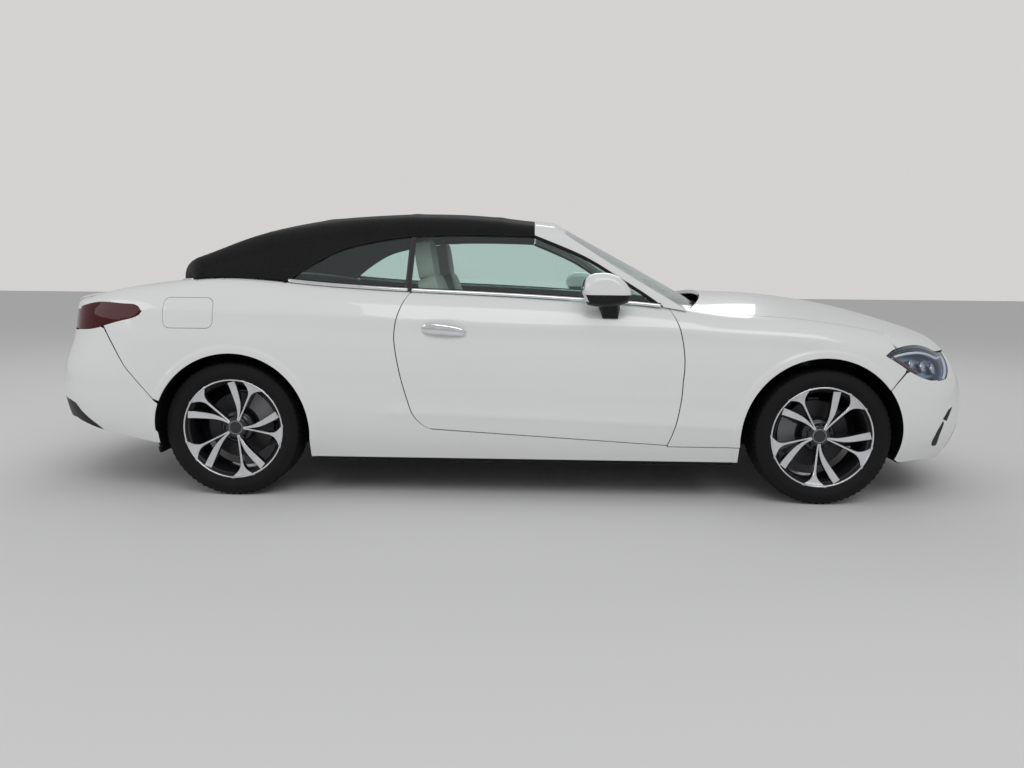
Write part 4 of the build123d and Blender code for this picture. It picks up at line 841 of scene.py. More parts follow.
# Seam of tonneau cover and boot lid: x on the centre line, x at the reach, and the reach.
DECK_SEAM = (-1868.0, -1532.0, 800.0)
LID_EDGE = [(-1540, 712), (-2080, 665), (-2200, 558)]  # boot lid side edge in plan: x and half width
LID_LOW_Z = 658.0  # lower edge of the boot lid
NOSE_EDGE_Z = (726.0, 15.0)  # bonnet's front edge on the centre line, and its rise to the lamps' outer ends
LAMP_OUTER_Y = 742.0
LAMP_INNER_Y, LAMP_FOOT_Y = 685.0, 795.0  # top and foot of the lamp's inner end
LAMP_FRONT_Z = 614.0  # foot of the lamp, seen from the front


def nose_edge_z(y):
    return NOSE_EDGE_Z[0] + NOSE_EDGE_Z[1] * (y / LAMP_OUTER_Y) ** 2


def lamp_end(count=14):
    """The headlamp's slanted inner end in front view, from the top down: y outwards and z."""
    low, high = LAMP_FRONT_Z + 8, nose_edge_z(LAMP_INNER_Y) - 14
    return list(zip(np.linspace(LAMP_INNER_Y, LAMP_FOOT_Y, count), np.linspace(high, low, count)))


def bonnet_rear_x(y, back=0.0):
    centre, side = BONNET_REAR
    return centre - (centre - side) * (y / BONNET_HALF_W) ** 2 - back


def deck_seam_x(y, at=0.0):
    centre, side, reach = DECK_SEAM
    return centre + (side - centre) * (y / reach) ** 2 + at


def wing_outline():
    """Front wing, from the foot of the door's shut line round the wheel opening and the lamp."""
    g = GAP / 2
    centre_z, radius = ARCHES[0][1:]
    low = 180 - math.degrees(math.asin((SILL_TOP_Z - centre_z) / radius))
    under, over = smooth_line(LAMP_LOW, 8), smooth_line(LAMP, 8)
    lamp_edge = [(x, z - g) for x, z in under if x < 1899][::-1] + [(LAMP[0][0] - g - 1, LAMP[0][1])]
    lamp_edge += [(x - 1, z + g) for x, z in over if x < 1844]
    bonnet_side = straight([(1809, BONNET_HALF_W + g), (875, BONNET_HALF_W + g)])
    rear = [(bonnet_rear_x(y, g + 2), y) for y in (800, 785, 770, 757)] + [(900, COWL_HALF_W)]
    inner = straight([(900, COWL_HALF_W), (764, COWL_HALF_W), (762, 800), (761, BELT_Y)])
    return [
        ("side", straight([(775 + g, SILL_TOP_Z), (1122, SILL_TOP_Z)])),
        ("side", round_arch(0, low, 38)),
        ("side", straight([(1815, 572), (1899 - g, 662)])),
        ("side", lamp_edge),
        ("side", straight([(1841, 768), (1834, 779)])),
        from_above(bonnet_side),
        from_above(rear),
        from_above(inner),
        ("side", door_front(g)[1:]),
    ]


def door_outline():
    """Door skin, from the belt down its front shut line and up the rear one."""
    g = GAP / 2
    top = straight([(-468, BELT_Y + 6), (-468, 790), (753, 790), (756, BELT_Y + 6)], 14)
    return [
        ("side", door_front(-g)[1:]),
        ("side", straight([(775 - g, 289 + g), (-366 + g, 356 + g)])),
        ("side", door_rear(g)[1:]),
        from_above(top),
    ]


def quarter_outline():
    """Rear wing with the rocker, from the sill up behind the door, along the deck and round the lamp."""
    g = GAP / 2
    sill = straight([(1119, SILL_Z), (1119, SILL_TOP_Z - GAP), (775 + g, SILL_TOP_Z - GAP), (770, 289 - g),
                     (-366 - g, 356 - g)])
    belt = straight([(-476, BELT_Y), (-480, 775), (-1060, 775), (-1060, 808), (-1250, 811), (-1528, 806)])
    edge = straight([(deck_seam_x(806, GAP), 806), (deck_seam_x(LID_EDGE[0][1] + g, GAP), LID_EDGE[0][1] + g)]
                    + [(x, y + g) for x, y in LID_EDGE[1:]] + [(-2318, 558 + g)])
    lamp = [(x, z + g) for x, z in smooth_line(TAIL_LAMP[::-1], 8)] + [(-1765 + g, 906)]
    lamp += [(x, z - g) for x, z in smooth_line(TAIL_LAMP_LOW[1:], 8) if x > -1972]
    bumper = straight([(-1972 + g, 830), (-1850 + g, 640), (-1702, 480)])
    rear_low = ARCHES[1][0] + 375  # rear end of the rocker, ahead of the rear wheel
    return [
        ("side", sill),
        ("side", door_rear(-g)[1:]),
        from_above(belt),
        from_above(edge),
        from_end("rear", straight([(562, 975), (562, 902)])),
        from_end("rear", straight([(575, 901), (700, 903), (760, 907)], 16)),
        ("side", lamp),
        ("side", bumper),
        ("side", round_arch(1, 157.5, 0)),
        ("side", straight([(rear_low + 3, 332), (rear_low, 300), (rear_low, SILL_Z), (1119, SILL_Z)])),
    ]


def flap_outline(grow):
    x, z, length, height = FLAP
    return [("side", rounded(x, z, length + 2 * grow, height + 2 * grow, 32 + grow))]


def both_ways(stretches):
    """A right-hand outline from the centre line round to it again, closed by its left-hand twin."""
    right = np.concatenate([lift(view, points) for view, points in stretches])
    left = (right * [1, -1, 1])[::-1]
    return np.concatenate([right, left[1:-1] if abs(right[0][1]) < 1 and abs(right[-1][1]) < 1 else left])


def bonnet_outline():
    """Bonnet, from its rear edge along the wing and over the lamp to the nose."""
    g = GAP / 2
    rear = [(bonnet_rear_x(y, -g), -y) for y in np.linspace(0, BONNET_HALF_W - g, 60)]
    side = straight([(BONNET_REAR[1], BONNET_HALF_W - g), (1809, BONNET_HALF_W - g)])
    front = [(-y, nose_edge_z(y) + g) for y in np.linspace(738, 0, 60)]
    lamp_edge = [(x, z + g + 1) for x, z in smooth_line(LAMP, 8) if x > 1850]
    return both_ways([
        ("top", rear),
        from_above(side),
        ("side", straight([(1840, 783), (1848, 770)]) + lamp_edge),
        ("front", front),
    ])


def lid_outline():
    """Boot lid, from the seam with the tonneau cover down to its lower edge."""
    g = GAP / 2
    front = [(deck_seam_x(y, -g), -y) for y in np.linspace(0, LID_EDGE[0][1] - g, 60)]
    side = straight([(x, y - g) for x, y in LID_EDGE] + [(-2318, 558 - g)])
    down = straight([(558 - g, 972), (558 - g, LID_LOW_Z + 30), (530, LID_LOW_Z), (0, LID_LOW_Z)])
    return both_ways([
        ("top", front[:-1]),
        from_above(side),
        from_end("rear", down + [(0, LID_LOW_Z)]),
    ])


def tonneau_outline():
    """Tonneau cover, from its seam with the boot lid forward to the rear seats."""
    g = GAP / 2
    rear = [(deck_seam_x(y, g), -y) for y in np.linspace(0, 802, 60)]
    side = straight([(-1527, 804), (-1250, 806), (-1063, 803)])
    front = [(-1063 - 190 * (1 - (y / 803) ** 2) ** 0.7, -y) for y in np.linspace(803, 0, 50)]
    return both_ways([("top", rear), from_above(side), ("top", front)])


# Openings in the front bumper: y and z.
GRILLE = [(-520, 420), (-400, 655), (400, 655), (520, 420)]
INTAKE = [(-660, 240), (-600, 365), (600, 365), (660, 240)]


def front_bumper_outline():
    """Front bumper, from its lower edge round the wheel opening and under the lamp to the bonnet."""
    g = GAP / 2
    low_z = 196.0
    return both_ways([
        ("front", [(-y, low_z) for y in np.linspace(0, 700, 40)]),
        ("side", straight([(2120, low_z + 4), (2039, 216), (1934, 208), (1895, 206)])),
        ("side", round_arch(0, -16, 38)),
        ("side", straight([(1815 + g, 570), (1903 + g, 660)])),
        ("side", [(x, z - g) for x, z in smooth_line(LAMP_LOW, 8) if x > 1910]),
        ("front", [(-812, LAMP_FRONT_Z - g), (-LAMP_FOOT_Y - 9, LAMP_FRONT_Z - g)]),
        ("front", [(g - y, z) for y, z in lamp_end()[::-1]]),
        ("front", [(-y, nose_edge_z(y) - GAP) for y in np.linspace(LAMP_INNER_Y - 8, 0, 48)]),
    ])


REAR_LOWER_EDGE = [(-2172, 358), (-2083, 336), (-2001, 316), (-1897, 297), (-1799, 278), (-1730, 265)]
# Black insert in the rear bumper, in side view: lower edge from the rear, and upper edge back again.
REAR_INSERT = [(-2175, 364), (-2139, 353), (-2059, 331), (-1996, 317)]
REAR_INSERT_TOP = [(-1996, 317), (-2028, 341), (-2073, 369), (-2121, 405), (-2168, 450)]
FRONT_SLOTS = {  # dark slots at the front bumper's corners, in side view
    "upper": [(2180, 475), (2152, 463), (2119, 420), (2147, 408)],
    "lower": [(2122, 411), (2095, 365), (2076, 315), (2078, 290), (2093, 282), (2113, 285), (2115, 341),
              (2130, 397)],
}


def rear_insert_outline():
    """The black insert low on the rear bumper, from corner to corner."""
    return both_ways([
        ("rear", [(-y, REAR_INSERT[0][1] - 2) for y in np.linspace(0, 780, 44)]),
        ("side", straight(REAR_INSERT)),
        ("side", straight(REAR_INSERT_TOP)),
        ("rear", [(-y, REAR_INSERT_TOP[-1][1] + 2) for y in np.linspace(792, 0, 44)]),
    ])


def rear_bumper_outline():
    """Rear bumper, from its lower edge round the wheel opening and under the lamp to the boot lid."""
    g, low_z = GAP / 2, LID_LOW_Z - GAP
    under_lid = straight([(562, 797), (562, LID_LOW_Z + 24), (536, low_z), (0, low_z)]) + [(0, low_z)]
    return both_ways([
        ("rear", [(-y, REAR_LOWER_EDGE[0][1]) for y in np.linspace(0, 780, 44)]),
        ("side", straight(REAR_LOWER_EDGE + [(-1697, 262), (-1697, 332)])),
        ("side", round_arch(1, 180, 158)),
        ("side", straight([(-1702 - g, 478), (-1850 - g, 640), (-1975 - g, 829)])),
        ("side", [(x, z - g) for x, z in smooth_line(TAIL_LAMP_LOW[1:], 8) if x < -1984]),
        ("rear", [(-y, 800) for y in np.linspace(745, 566, 18)]),
        from_end("rear", under_lid),
    ])


def front_hole(points):
    return lift("front", straight(points + points[:1], 10))


def side_guides():
    """Lines along which the side panels get extra points: the creases and the arch lips."""
    xs = np.arange(-1900, 1700, 14.0)
    lines = [("side", [(x, float(upper_crease(x)) + up) for x in xs]) for up in (-30, -14, 0, 14, 30)]
    xs = np.arange(-560, 1120, 14.0)
    lines += [("side", [(x, float(lower_crease(x)) + up) for x in xs]) for up in (-26, -12, 0, 12, 26)]
    for number in (0, 1):
        lines += [("side", round_arch(number, 0, 200, out)) for out in (8, 16, 24, 30, 37, 44, 52)]
    return lines


def make_wings():
    guides, coats = side_guides(), coat("paint", "paint", "steel")
    for name, side in SIDES:
        skin_panel(f"wing_front_{name}", SIDE_CHART, [wing_outline()], 6, coats, "body", f"front_wing_{name}",
                   side, guides=guides)
        outlines = [quarter_outline()] + ([flap_outline(2.2)] if side > 0 else [])
        skin_panel(f"wing_rear_{name}", SIDE_CHART, outlines, 6, coats, "body", f"side_panel_{name}",
                   side, guides=guides)


def make_doors():
    guides, coats = side_guides(), coat("paint", "paint", "dark_leather")
    for name, side in SIDES:
        door = f"door_{name}"
        skin_panel(f"door_skin_{name}", SIDE_CHART, [door_outline()], 4, coats, door, door, side,
                   inner_y=BELT_INNER_Y, guides=guides)


def make_lids():
    paint = coat("paint", "paint")
    skin_panel("bonnet_skin", TOP_CHART, [bonnet_outline()], 20, paint, "bonnet", "bonnet")
    skin_panel("boot_lid_skin", TAIL_CHART, [lid_outline()], 22, paint, "boot_lid", "boot_lid")
    skin_panel("tonneau_skin", TOP_CHART, [tonneau_outline()], 12, paint, "body", "tonneau_cover")
    skin_panel("fuel_flap_skin", SIDE_CHART, [flap_outline(0)], 5, paint, "fuel_flap", "fuel_flap", step=12)


def make_bumpers():
    paint, black = coat("paint", "black"), coat("black")
    front = [front_bumper_outline(), front_hole(GRILLE), front_hole(INTAKE)]
    skin_panel("bumper_front", NOSE_CHART, front, 6, paint, "body", "front_bumper")
    skin_panel("bumper_rear", TAIL_CHART, [rear_bumper_outline()], 6, paint, "body", "rear_bumper")
    skin_panel("bumper_rear_insert", TAIL_CHART, [rear_insert_outline()], 3, black, "body", lift_out=1.4,
               edge=0.7)
    for label, points in FRONT_SLOTS.items():
        for name, side in SIDES:
            slot = [("side", straight(points + points[:1], 6)[:-1])]
            skin_panel(f"bumper_slot_{label}_{name}", NOSE_CHART, [slot], 3, black, "body", side=side,
                       lift_out=1.4, edge=0.7, step=10)


# ---------------------------------------------------------------- stage
WORLD_LIGHT, WORLD_COLOUR = 0.62, (0.80, 0.80, 0.81)
BACKGROUND = (0.66, 0.645, 0.64)  # colour that the camera sees behind the floor
# Area lights: name, place in metres, size in metres and power in watts.
LIGHTS = (("key", (1.5, -6.5, 6.5), (8, 4), 190), ("fill", (-6.5, -3.0, 3.5), (4, 3), 50),
          ("rim", (0.0, 6.0, 5.0), (7, 3), 110))
LIT_POINT, FLOOR_SIZE = (0, 0, 0.6), 60  # in metres


def make_stage():
    """A pale floor, an even sky and three area lights."""
    bpy.ops.mesh.primitive_plane_add(size=FLOOR_SIZE)
    floor = bpy.context.object
    floor.name = "studio_floor"
    floor.data.materials.append(FINISHES["floor"])
    world = bpy.data.worlds.new("studio")
    bpy.context.scene.world = world
    world.use_nodes = True
    tree = world.node_tree
    light, seen = tree.nodes["Background"], tree.nodes.new("ShaderNodeBackground")
    for node, colour, strength in ((light, WORLD_COLOUR, WORLD_LIGHT), (seen, BACKGROUND, 1.0)):
        node.inputs["Color"].default_value = (*colour, 1)
        node.inputs["Strength"].default_value = strength
    ray, either = tree.nodes.new("ShaderNodeLightPath"), tree.nodes.new("ShaderNodeMixShader")
    tree.links.new(ray.outputs["Is Camera Ray"], either.inputs[0])
    tree.links.new(light.outputs[0], either.inputs[1])
    tree.links.new(seen.outputs[0], either.inputs[2])
    tree.links.new(either.outputs[0], tree.nodes["World Output"].inputs["Surface"])
    for name, place, size, power in LIGHTS:
        light = bpy.data.lights.new(name, "AREA")
        light.shape, light.size, light.size_y, light.energy = "RECTANGLE", size[0], size[1], power
        stand = linked(name, light)
        stand.location = place
        stand.rotation_euler = (Vector(LIT_POINT) - Vector(place)).to_track_quat("-Z", "Y").to_euler()


CAMERA_AT = (129.0, -4802.0, 1122.0)
CAMERA_YAW, CAMERA_PITCH, CAMERA_ROLL = -1.53, 7.99, 0.55  # degrees: to the right, down, and about the view
FOCAL_PX, FRAME_W = 818.0, 1024.0


def make_camera():
    """A camera turned by yaw, pitch and roll, with its focal length in pixels of the frame's width."""
    data = bpy.data.cameras.new("camera")
    data.sensor_fit, data.sensor_width = "HORIZONTAL", 36.0
    data.lens = FOCAL_PX / FRAME_W * data.sensor_width
    camera = linked("camera", data)
    yaw, pitch, roll = (math.radians(a) for a in (CAMERA_YAW, CAMERA_PITCH, CAMERA_ROLL))
    forward = Vector((math.sin(yaw) * math.cos(pitch), math.cos(yaw) * math.cos(pitch), -math.sin(pitch)))
    right = Vector((math.cos(yaw), -math.sin(yaw), 0))
    up = right.cross(forward)
    tilted = right * math.cos(roll) + up * math.sin(roll)
    up = tilted.cross(forward)
    camera.matrix_world = Matrix((tilted, up, -forward)).transposed().to_4x4()
    camera.location = Vector(CAMERA_AT) * MM
    bpy.context.scene.camera = camera
    bpy.context.scene.view_settings.view_transform = "Standard"


# ---------------------------------------------------------------- glasshouse and soft top
HOUSE_XS = np.arange(-1900.0, 1201.0, 12.0)
HOUSE_STEP = math.radians(0.5)
HOUSE_AXIS_Z = 960.0
HOUSE_FOOT_Z = 820.0
SHOULDER_BULGE = 0.14  # outward bow of the shoulder between side glass and roof, as a share of its chord


def house_section(x):
    """Right-hand section of the glasshouse at a station, from under the belt to the centre line."""
    rail, y, z, top = (float(c(x)) for c in (rail_z, shoulder_y, shoulder_z, roof_z))
    edge = (side_y(rail), rail)
    bend = ((edge[0] + y) / 2 + SHOULDER_BULGE * (z - rail), (rail + z) / 2 + SHOULDER_BULGE * (edge[0] - y))
    crown = [p for p in arc((y, z), (0.0, top), (-y, z), 8) if p[0] >= 0]
    foot = (side_y(HOUSE_FOOT_Z), HOUSE_FOOT_Z)
    return straight([foot, edge], 10) + arc(edge, bend, (y, z), 6) + crown + [(0.0, top)]


def house_radii():
    """Distance of the glasshouse surface from its axis, by station and by turn from straight up."""
    turns, rows = np.arange(0, 250) * HOUSE_STEP, []
    for x in HOUSE_XS:
        y, z = np.array(house_section(x)).T
        turn = np.arctan2(y, z - HOUSE_AXIS_Z)
        order = np.argsort(turn)
        rows.append(np.interp(turns, turn[order], np.hypot(y, z - HOUSE_AXIS_Z)[order]))
    return np.array(rows)


HOUSE_RADII = house_radii()
ROOF_BOWS = (-60.0, -520.0, -980.0)  # hoops that show through the cloth
BOW_H, BOW_W = 2.6, 26  # how far a hoop presses the cloth up, and over what width
CLOTH_SAG = 2.2  # how far the cloth hangs between two hoops
CLOTH_SEAM = (1.6, 470, 7, 1180)  # height, distance from the centre line, width and lowest z of a long seam
CLOTH_TAUT = (0.9, 1.25)  # turns from straight up between which hoops and sag fade out


def house(p):
    """Depth of points inside the glasshouse."""
    turn = np.abs(np.arctan2(p[:, 1], p[:, 2] - HOUSE_AXIS_Z)) / HOUSE_STEP
    along = np.clip((p[:, 0] - HOUSE_XS[0]) / (HOUSE_XS[1] - HOUSE_XS[0]), 0, len(HOUSE_XS) - 1.001)
    turn = np.clip(turn, 0, HOUSE_RADII.shape[1] - 1.001)
    i, j = along.astype(int), turn.astype(int)
    u, v = along - i, turn - j
    near = HOUSE_RADII[i, j] * (1 - v) + HOUSE_RADII[i, j + 1] * v
    far = HOUSE_RADII[i + 1, j] * (1 - v) + HOUSE_RADII[i + 1, j + 1] * v
    return near * (1 - u) + far * u - np.hypot(p[:, 1], p[:, 2] - HOUSE_AXIS_Z)


def roof_cloth(p):
    """Depth inside the stretched cloth: hoops press through it and it hangs a little between them."""
    turn = np.abs(np.arctan2(p[:, 1], p[:, 2] - HOUSE_AXIS_Z))
    press = sum(np.exp(-((p[:, 0] - x) / BOW_W) ** 2) for x in ROOF_BOWS) * BOW_H
    first, second = ROOF_BOWS[:2]
    hang = -CLOTH_SAG * np.abs(np.sin((p[:, 0] - first) / (first - second) * math.pi))
    seam_h, seam_y, seam_w, seam_z = CLOTH_SEAM
    seam = seam_h * np.exp(-((np.abs(p[:, 1]) - seam_y) / seam_w) ** 2) * (p[:, 2] > seam_z)
    return house(p) + (press + hang) * (1 - smoothstep(*CLOTH_TAUT, turn)) + seam


HOUSE_CHART = AxleChart(0.0, HOUSE_AXIS_Z, 700.0)
# The cloth's side edge, from the deck to the windscreen frame.
ROOF_EDGE = [(-1100, 1043), (-1048, 1088), (-946, 1158), (-844, 1213), (-744, 1244), (-643, 1264),
             (-544, 1280), (-394, 1291), (-146, 1295), (125, 1290)]
# Foot of the cloth's rear hem: x on the centre line, x at the reach, and the reach.
ROOF_REAR = (-1825.0, -1540.0, 780.0)
ROOF_REAR_Y = 776.0
ROOF_FRONT_X = 124.0
REAR_WINDOW = [(-330, 1150), (-280, 1262), (280, 1262), (330, 1150)]
PILLAR_EDGE = [(125, 1290), (248, 1241), (395, 1175), (543, 1084), (642, 1022), (742, 955)]
B_POST_X = -482.0
DOOR_PANE = [(-478, 1016), (-478, 1280), (-394, 1285), (-146, 1289), (118, 1284), (244, 1235), (391, 1169),
             (539, 1078), (638, 1016), (690, 981), (694, 966)]  # side view, from the post round to the mirror
QUARTER_PANE = [(-1076, 1050), (-1043, 1084), (-942, 1153), (-842, 1208), (-744, 1239), (-643, 1259),
                (-544, 1275), (-486, 1282), (-486, 1016)]
QUARTER_PANE_REAR_X = -1090.0


def smooth_line(points, step=10.0):
    """A smooth line through points, evenly spaced."""
    xy = np.array(points, float)
    along = np.concatenate([[0], np.cumsum(np.hypot(*np.diff(xy, axis=0).T))])
    t = np.arange(0, along[-1], step)
    return list(zip(Curve(along, xy[:, 0])(t), Curve(along, xy[:, 1])(t)))


def softened(points, radius, count=6):
    """A closed outline with its corners rounded."""
    found = []
    for before, corner, after in zip(points[-1:] + points[:-1], points, points[1:] + points[:1]):
        b, c, a = (np.array(p, float) for p in (before, corner, after))
        start = c + (b - c) / np.linalg.norm(b - c) * radius
        end = c + (a - c) / np.linalg.norm(a - c) * radius
        for n in range(count + 1):
            t = n / count
            found.append(tuple(start * (1 - t) ** 2 + 2 * c * t * (1 - t) + end * t * t))
    return straight(found + found[:1], 10)


def deck_point(x):
    """Where the leaning side plane meets the upper surface of the body, on the right-hand side."""
    z = 1040.0
    for _ in range(4):
        z = float(top_z(x, side_y(z)))
    return (x, -side_y(z), z)


def ribbon(name, outer_low, outer_high, depth, material, body, side=1):
    """A closed strip between two rows of points, carried inwards or outwards by a depth vector."""
    low, high = np.array(outer_low, float), np.array(outer_high, float)
    depth = np.broadcast_to(np.array(depth, float), low.shape)
    count = len(low)
    points = np.concatenate([low, high, high + depth, low + depth])
    faces = []
    for n in range(count - 1):
        for row in range(4):
            a, b = row * count + n, ((row + 1) % 4) * count + n
            faces.append((a, a + 1, b + 1, b))
    faces += [tuple(row * count for row in range(4)), tuple(row * count + count - 1 for row in (3, 2, 1, 0))]
    piece = outwards(mesh_object(name, points * [1, side, 1], faces, [material]))
    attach(piece, body)
    return piece


def roof_rear_x(y):
    """Foot of the cloth's rear hem at a half width."""
    centre, side, reach = ROOF_REAR
    return centre + (side - centre) * (y / reach) ** 2


def hem_run():
    """How far the cloth's rear hem slopes down to the deck."""
    return round(bpy.context.scene.convertible.hem_run / MM, 3)


def roof_outline():
    side = lift("side", [(x, z) for x, z in smooth_line(ROOF_EDGE) if x < ROOF_FRONT_X - 4], roof_cloth)
    deck = np.array([deck_point(x) for x in np.arange(-1540, -1100, 12.0)]) + [0, 0, 3]
    rear = [(roof_rear_x(y) + hem_run(), -y) for y in np.linspace(0, ROOF_REAR_Y, 70)]
    front = lift("top", [(ROOF_FRONT_X, -y) for y in np.linspace(630, 0, 60)], roof_cloth)
    right = np.concatenate([lift("top", rear, roof_cloth), deck, side, front])
    return np.concatenate([right, (right * [1, -1, 1])[::-1][1:-1]])


def rounded_hem(name, foot, top):
    """The cloth's rear hem: a rounded slope from its top edge down to the deck."""
    rows, tuck = [], 8  # the hem starts a little way under the cloth
    for t in np.linspace(0, 1, 7):
        across, fall = math.sin(t * math.pi / 2), math.cos(t * math.pi / 2) ** 0.8
        rows.append(np.column_stack([top[:, 0] + tuck + (foot[:, 0] - top[:, 0] - tuck) * across,
                                     top[:, 1] + (foot[:, 1] - top[:, 1]) * across,
                                     foot[:, 2] + (top[:, 2] - foot[:, 2] - 1) * fall]))
    rows.append(np.column_stack([top[:, 0] + tuck, top[:, 1], foot[:, 2]]))
    bar(name, rows, FINISHES["fabric"], "body")


def make_soft_top():
    window = lift("rear", softened(REAR_WINDOW, 28), roof_cloth)
    bows = [("top", [(bow + off, y) for y in range(-560, 561, 14)])
            for bow in ROOF_BOWS for off in (-BOW_W, -12, 0, 12, BOW_W)]
    cloth = skin_panel("soft_top_cloth", HOUSE_CHART, [roof_outline(), window], 4, coat("fabric"), "body",
                       "soft_top", step=17, edge=1.2, field=roof_cloth, guides=bows)
    rear = np.array([(roof_rear_x(y), y) for y in np.linspace(-ROOF_REAR_Y, ROOF_REAR_Y, 120)])
    top = lift("top", rear + [[hem_run(), 0]], roof_cloth)
    foot = np.column_stack([rear - [[6, 0]], top_z(rear[:, 0], rear[:, 1]) + 1])
    top[:, 2] = np.maximum(top[:, 2] + 1, foot[:, 2] + 8)
    rounded_hem("soft_top_hem", foot, top)
    strip = np.column_stack([rear - [[16, 0]], top_z(rear[:, 0] - 16, rear[:, 1]) + 1.0])
    tube("roof_foot_strip", strip, 5.5, FINISHES["chrome"], "body")
    path = smooth_line(ROOF_EDGE)
    outer = lift("side", path, roof_cloth)
    lower = lift("side", [(x + 3, z - 7) for x, z in path], house)
    normal = normals_of(house, outer)
    deck = np.array([deck_point(x) for x in np.arange(-1540, -1080, 12.0)])
    for name, side in SIDES:
        ribbon(f"roof_seal_{name}", lower + normal * 3, outer + normal * 3, normal * -9, FINISHES["seal"],
               "body", side)
        ribbon(f"roof_side_hem_{name}", deck + [0, -5, 0.5], deck + [0, -1, 16], (0, 9, 0),
               FINISHES["fabric"], "body", side)


def make_glass():
    """Panes, window seals, the post between the panes and the bright strip along the belt."""
    rear = clad("rear_glazing", "rear_window_pane", coat("glass"), lambda centre, normal: 0, "body")
    edited(rear, lambda made: bmesh.ops.delete(made, context="FACES", geom=[
        face for face in made.faces if face.calc_center_median().x / MM > QUARTER_PANE_REAR_X]))
    posts = []
    for shift in (-15, 15):
        row = [(B_POST_X + shift - 6 + (z - 1010) * 0.02, z) for z in np.linspace(1012, 1278, 24)]
        posts.append(lift("side", row, house) + [0, -3, 0])
    pillar = smooth_line(PILLAR_EDGE[:-1] + [(715, 972)])
    outer = lift("side", [(x, z + 1) for x, z in pillar], house)
    lower = lift("side", [(x - 5, z - 10) for x, z in pillar], house)
    normal = normals_of(house, outer)
    for name, side in SIDES:
        for label, outline, body, node in (("quarter", QUARTER_PANE, "body", None),
                                           ("door", DOOR_PANE, f"door_{name}", f"door_glass_{name}")):
            belt = [(x, deck_point(x)[2] - 4) for x in np.linspace(outline[-1][0], outline[0][0], 40)[1:-1]]
            pane = [("side", straight(outline)), ("side", belt)]
            skin_panel(f"{label}_pane_{name}", HOUSE_CHART, [pane], 4, coat("glass"), body, node, side,
                       step=26, edge=0.6, field=house, lift_out=-2)
        ribbon(f"post_trim_{name}", *posts, (0, 9, 0), FINISHES["gloss_black"], f"door_{name}", side)
        for label, start, end, body in (("door", -468, 742, f"door_{name}"), ("rear", -1078, -478, "body")):
            foot = np.array([deck_point(x) for x in np.arange(start, end, 10.0)])
            ribbon(f"belt_strip_{label}_{name}", foot + [0, -9, -1], foot + [0, -5, 15], (0, 7, 0),
                   FINISHES["chrome"], body, side)
            ribbon(f"belt_seal_{label}_{name}", foot + [0, -3, 13], foot + [0, 2, 19], (0, 6, 0),
                   FINISHES["seal"], body, side)
        ribbon(f"pillar_seal_{name}", lower + normal * 2, outer + normal * 2, normal * -9, FINISHES["seal"],
               "body", side)


# ---------------------------------------------------------------- lamps and grille
TAIL_LAMP_INNER_Y = 566.0
LAMP_DEPTH = 50  # depth of a lamp's housing behind its lens
PROJECTORS = ((1950, 698, 24), (2020, 684, 27), (2088, 672, 27))  # x, z and radius, in side view
PROJECTOR_DEPTH = 40


def headlamp_outline(inset=0.0):
    """The headlamp lens: upper edge, slanted inner end and lower edge back again."""
    lower = smooth_line(LAMP_LOW, 8) + [LAMP_LOW[-1]]
    drop = GAP + inset
    return [
        ("side", [(x + inset, z - inset - 2) for x, z in smooth_line(LAMP, 8)]),
        ("front", [(-y, nose_edge_z(y) - drop) for y in np.linspace(736, LAMP_INNER_Y + 8, 8)]),
        ("front", [(-y - inset, z) for y, z in lamp_end()]),
        ("front", [(-LAMP_FOOT_Y - 9, LAMP_FRONT_Z + inset), (-812, LAMP_FRONT_Z + inset)]),
        ("side", [(x, z + inset) for x, z in lower[::-1][:-1]]),
    ]


def tail_lamp_outline(inset=0.0):
    """The tail lamp's lens: upper edge, upright inner end and lower edge back again."""
    upper = smooth_line(TAIL_LAMP, 8)
    lower = smooth_line(TAIL_LAMP_LOW, 8)
    low = TAIL_LAMP_INNER_Y + inset
    return [
        ("side", [(x - inset, z - inset) for x, z in upper[:-1]]),
        ("rear", [(-y, 900 - inset + (y - 566) * 0.03) for y in np.linspace(742, low, 22)]),
        ("rear", [(-low, z) for z in np.linspace(896 - inset, 810 + inset, 9)]),
        ("rear", [(-y, 806 + inset) for y in np.linspace(low, 742, 22)]),
        ("side", [(x - inset, z + inset) for x, z in lower[::-1][:-1]]),
    ]


def lamp(name, chart, outline, lens, tray, side, node):
    """A lens, the housing behind it and the wall between them."""
    skin_panel(f"{name}_lens", chart, [outline(0.0)], 3, coat(lens), "body", node, side, step=14, edge=0.8)
    skin_panel(f"{name}_housing", chart, [outline(1.5)], 3, coat(tray), "body", None, side, step=20, edge=0,
               lift_out=-LAMP_DEPTH)
    loop = np.concatenate([lift(v, pts) for v, pts in outline(1.5)])
    loop = np.concatenate([loop, loop[:1]])
    normal = normals_of(lower_body, loop)
    ribbon(f"{name}_wall", loop - normal * 4, loop - normal * LAMP_DEPTH, (0, 2, 0), FINISHES[tray], "body",
           side)


def guide_bar(name, stretches, depth, radius, finish, side):
    """A round light guide that follows the body's surface at a depth."""
    loop = np.concatenate([lift(v, pts) for v, pts in stretches])
    tube(name, loop - normals_of(lower_body, loop) * depth, radius, FINISHES[finish], "body", side)


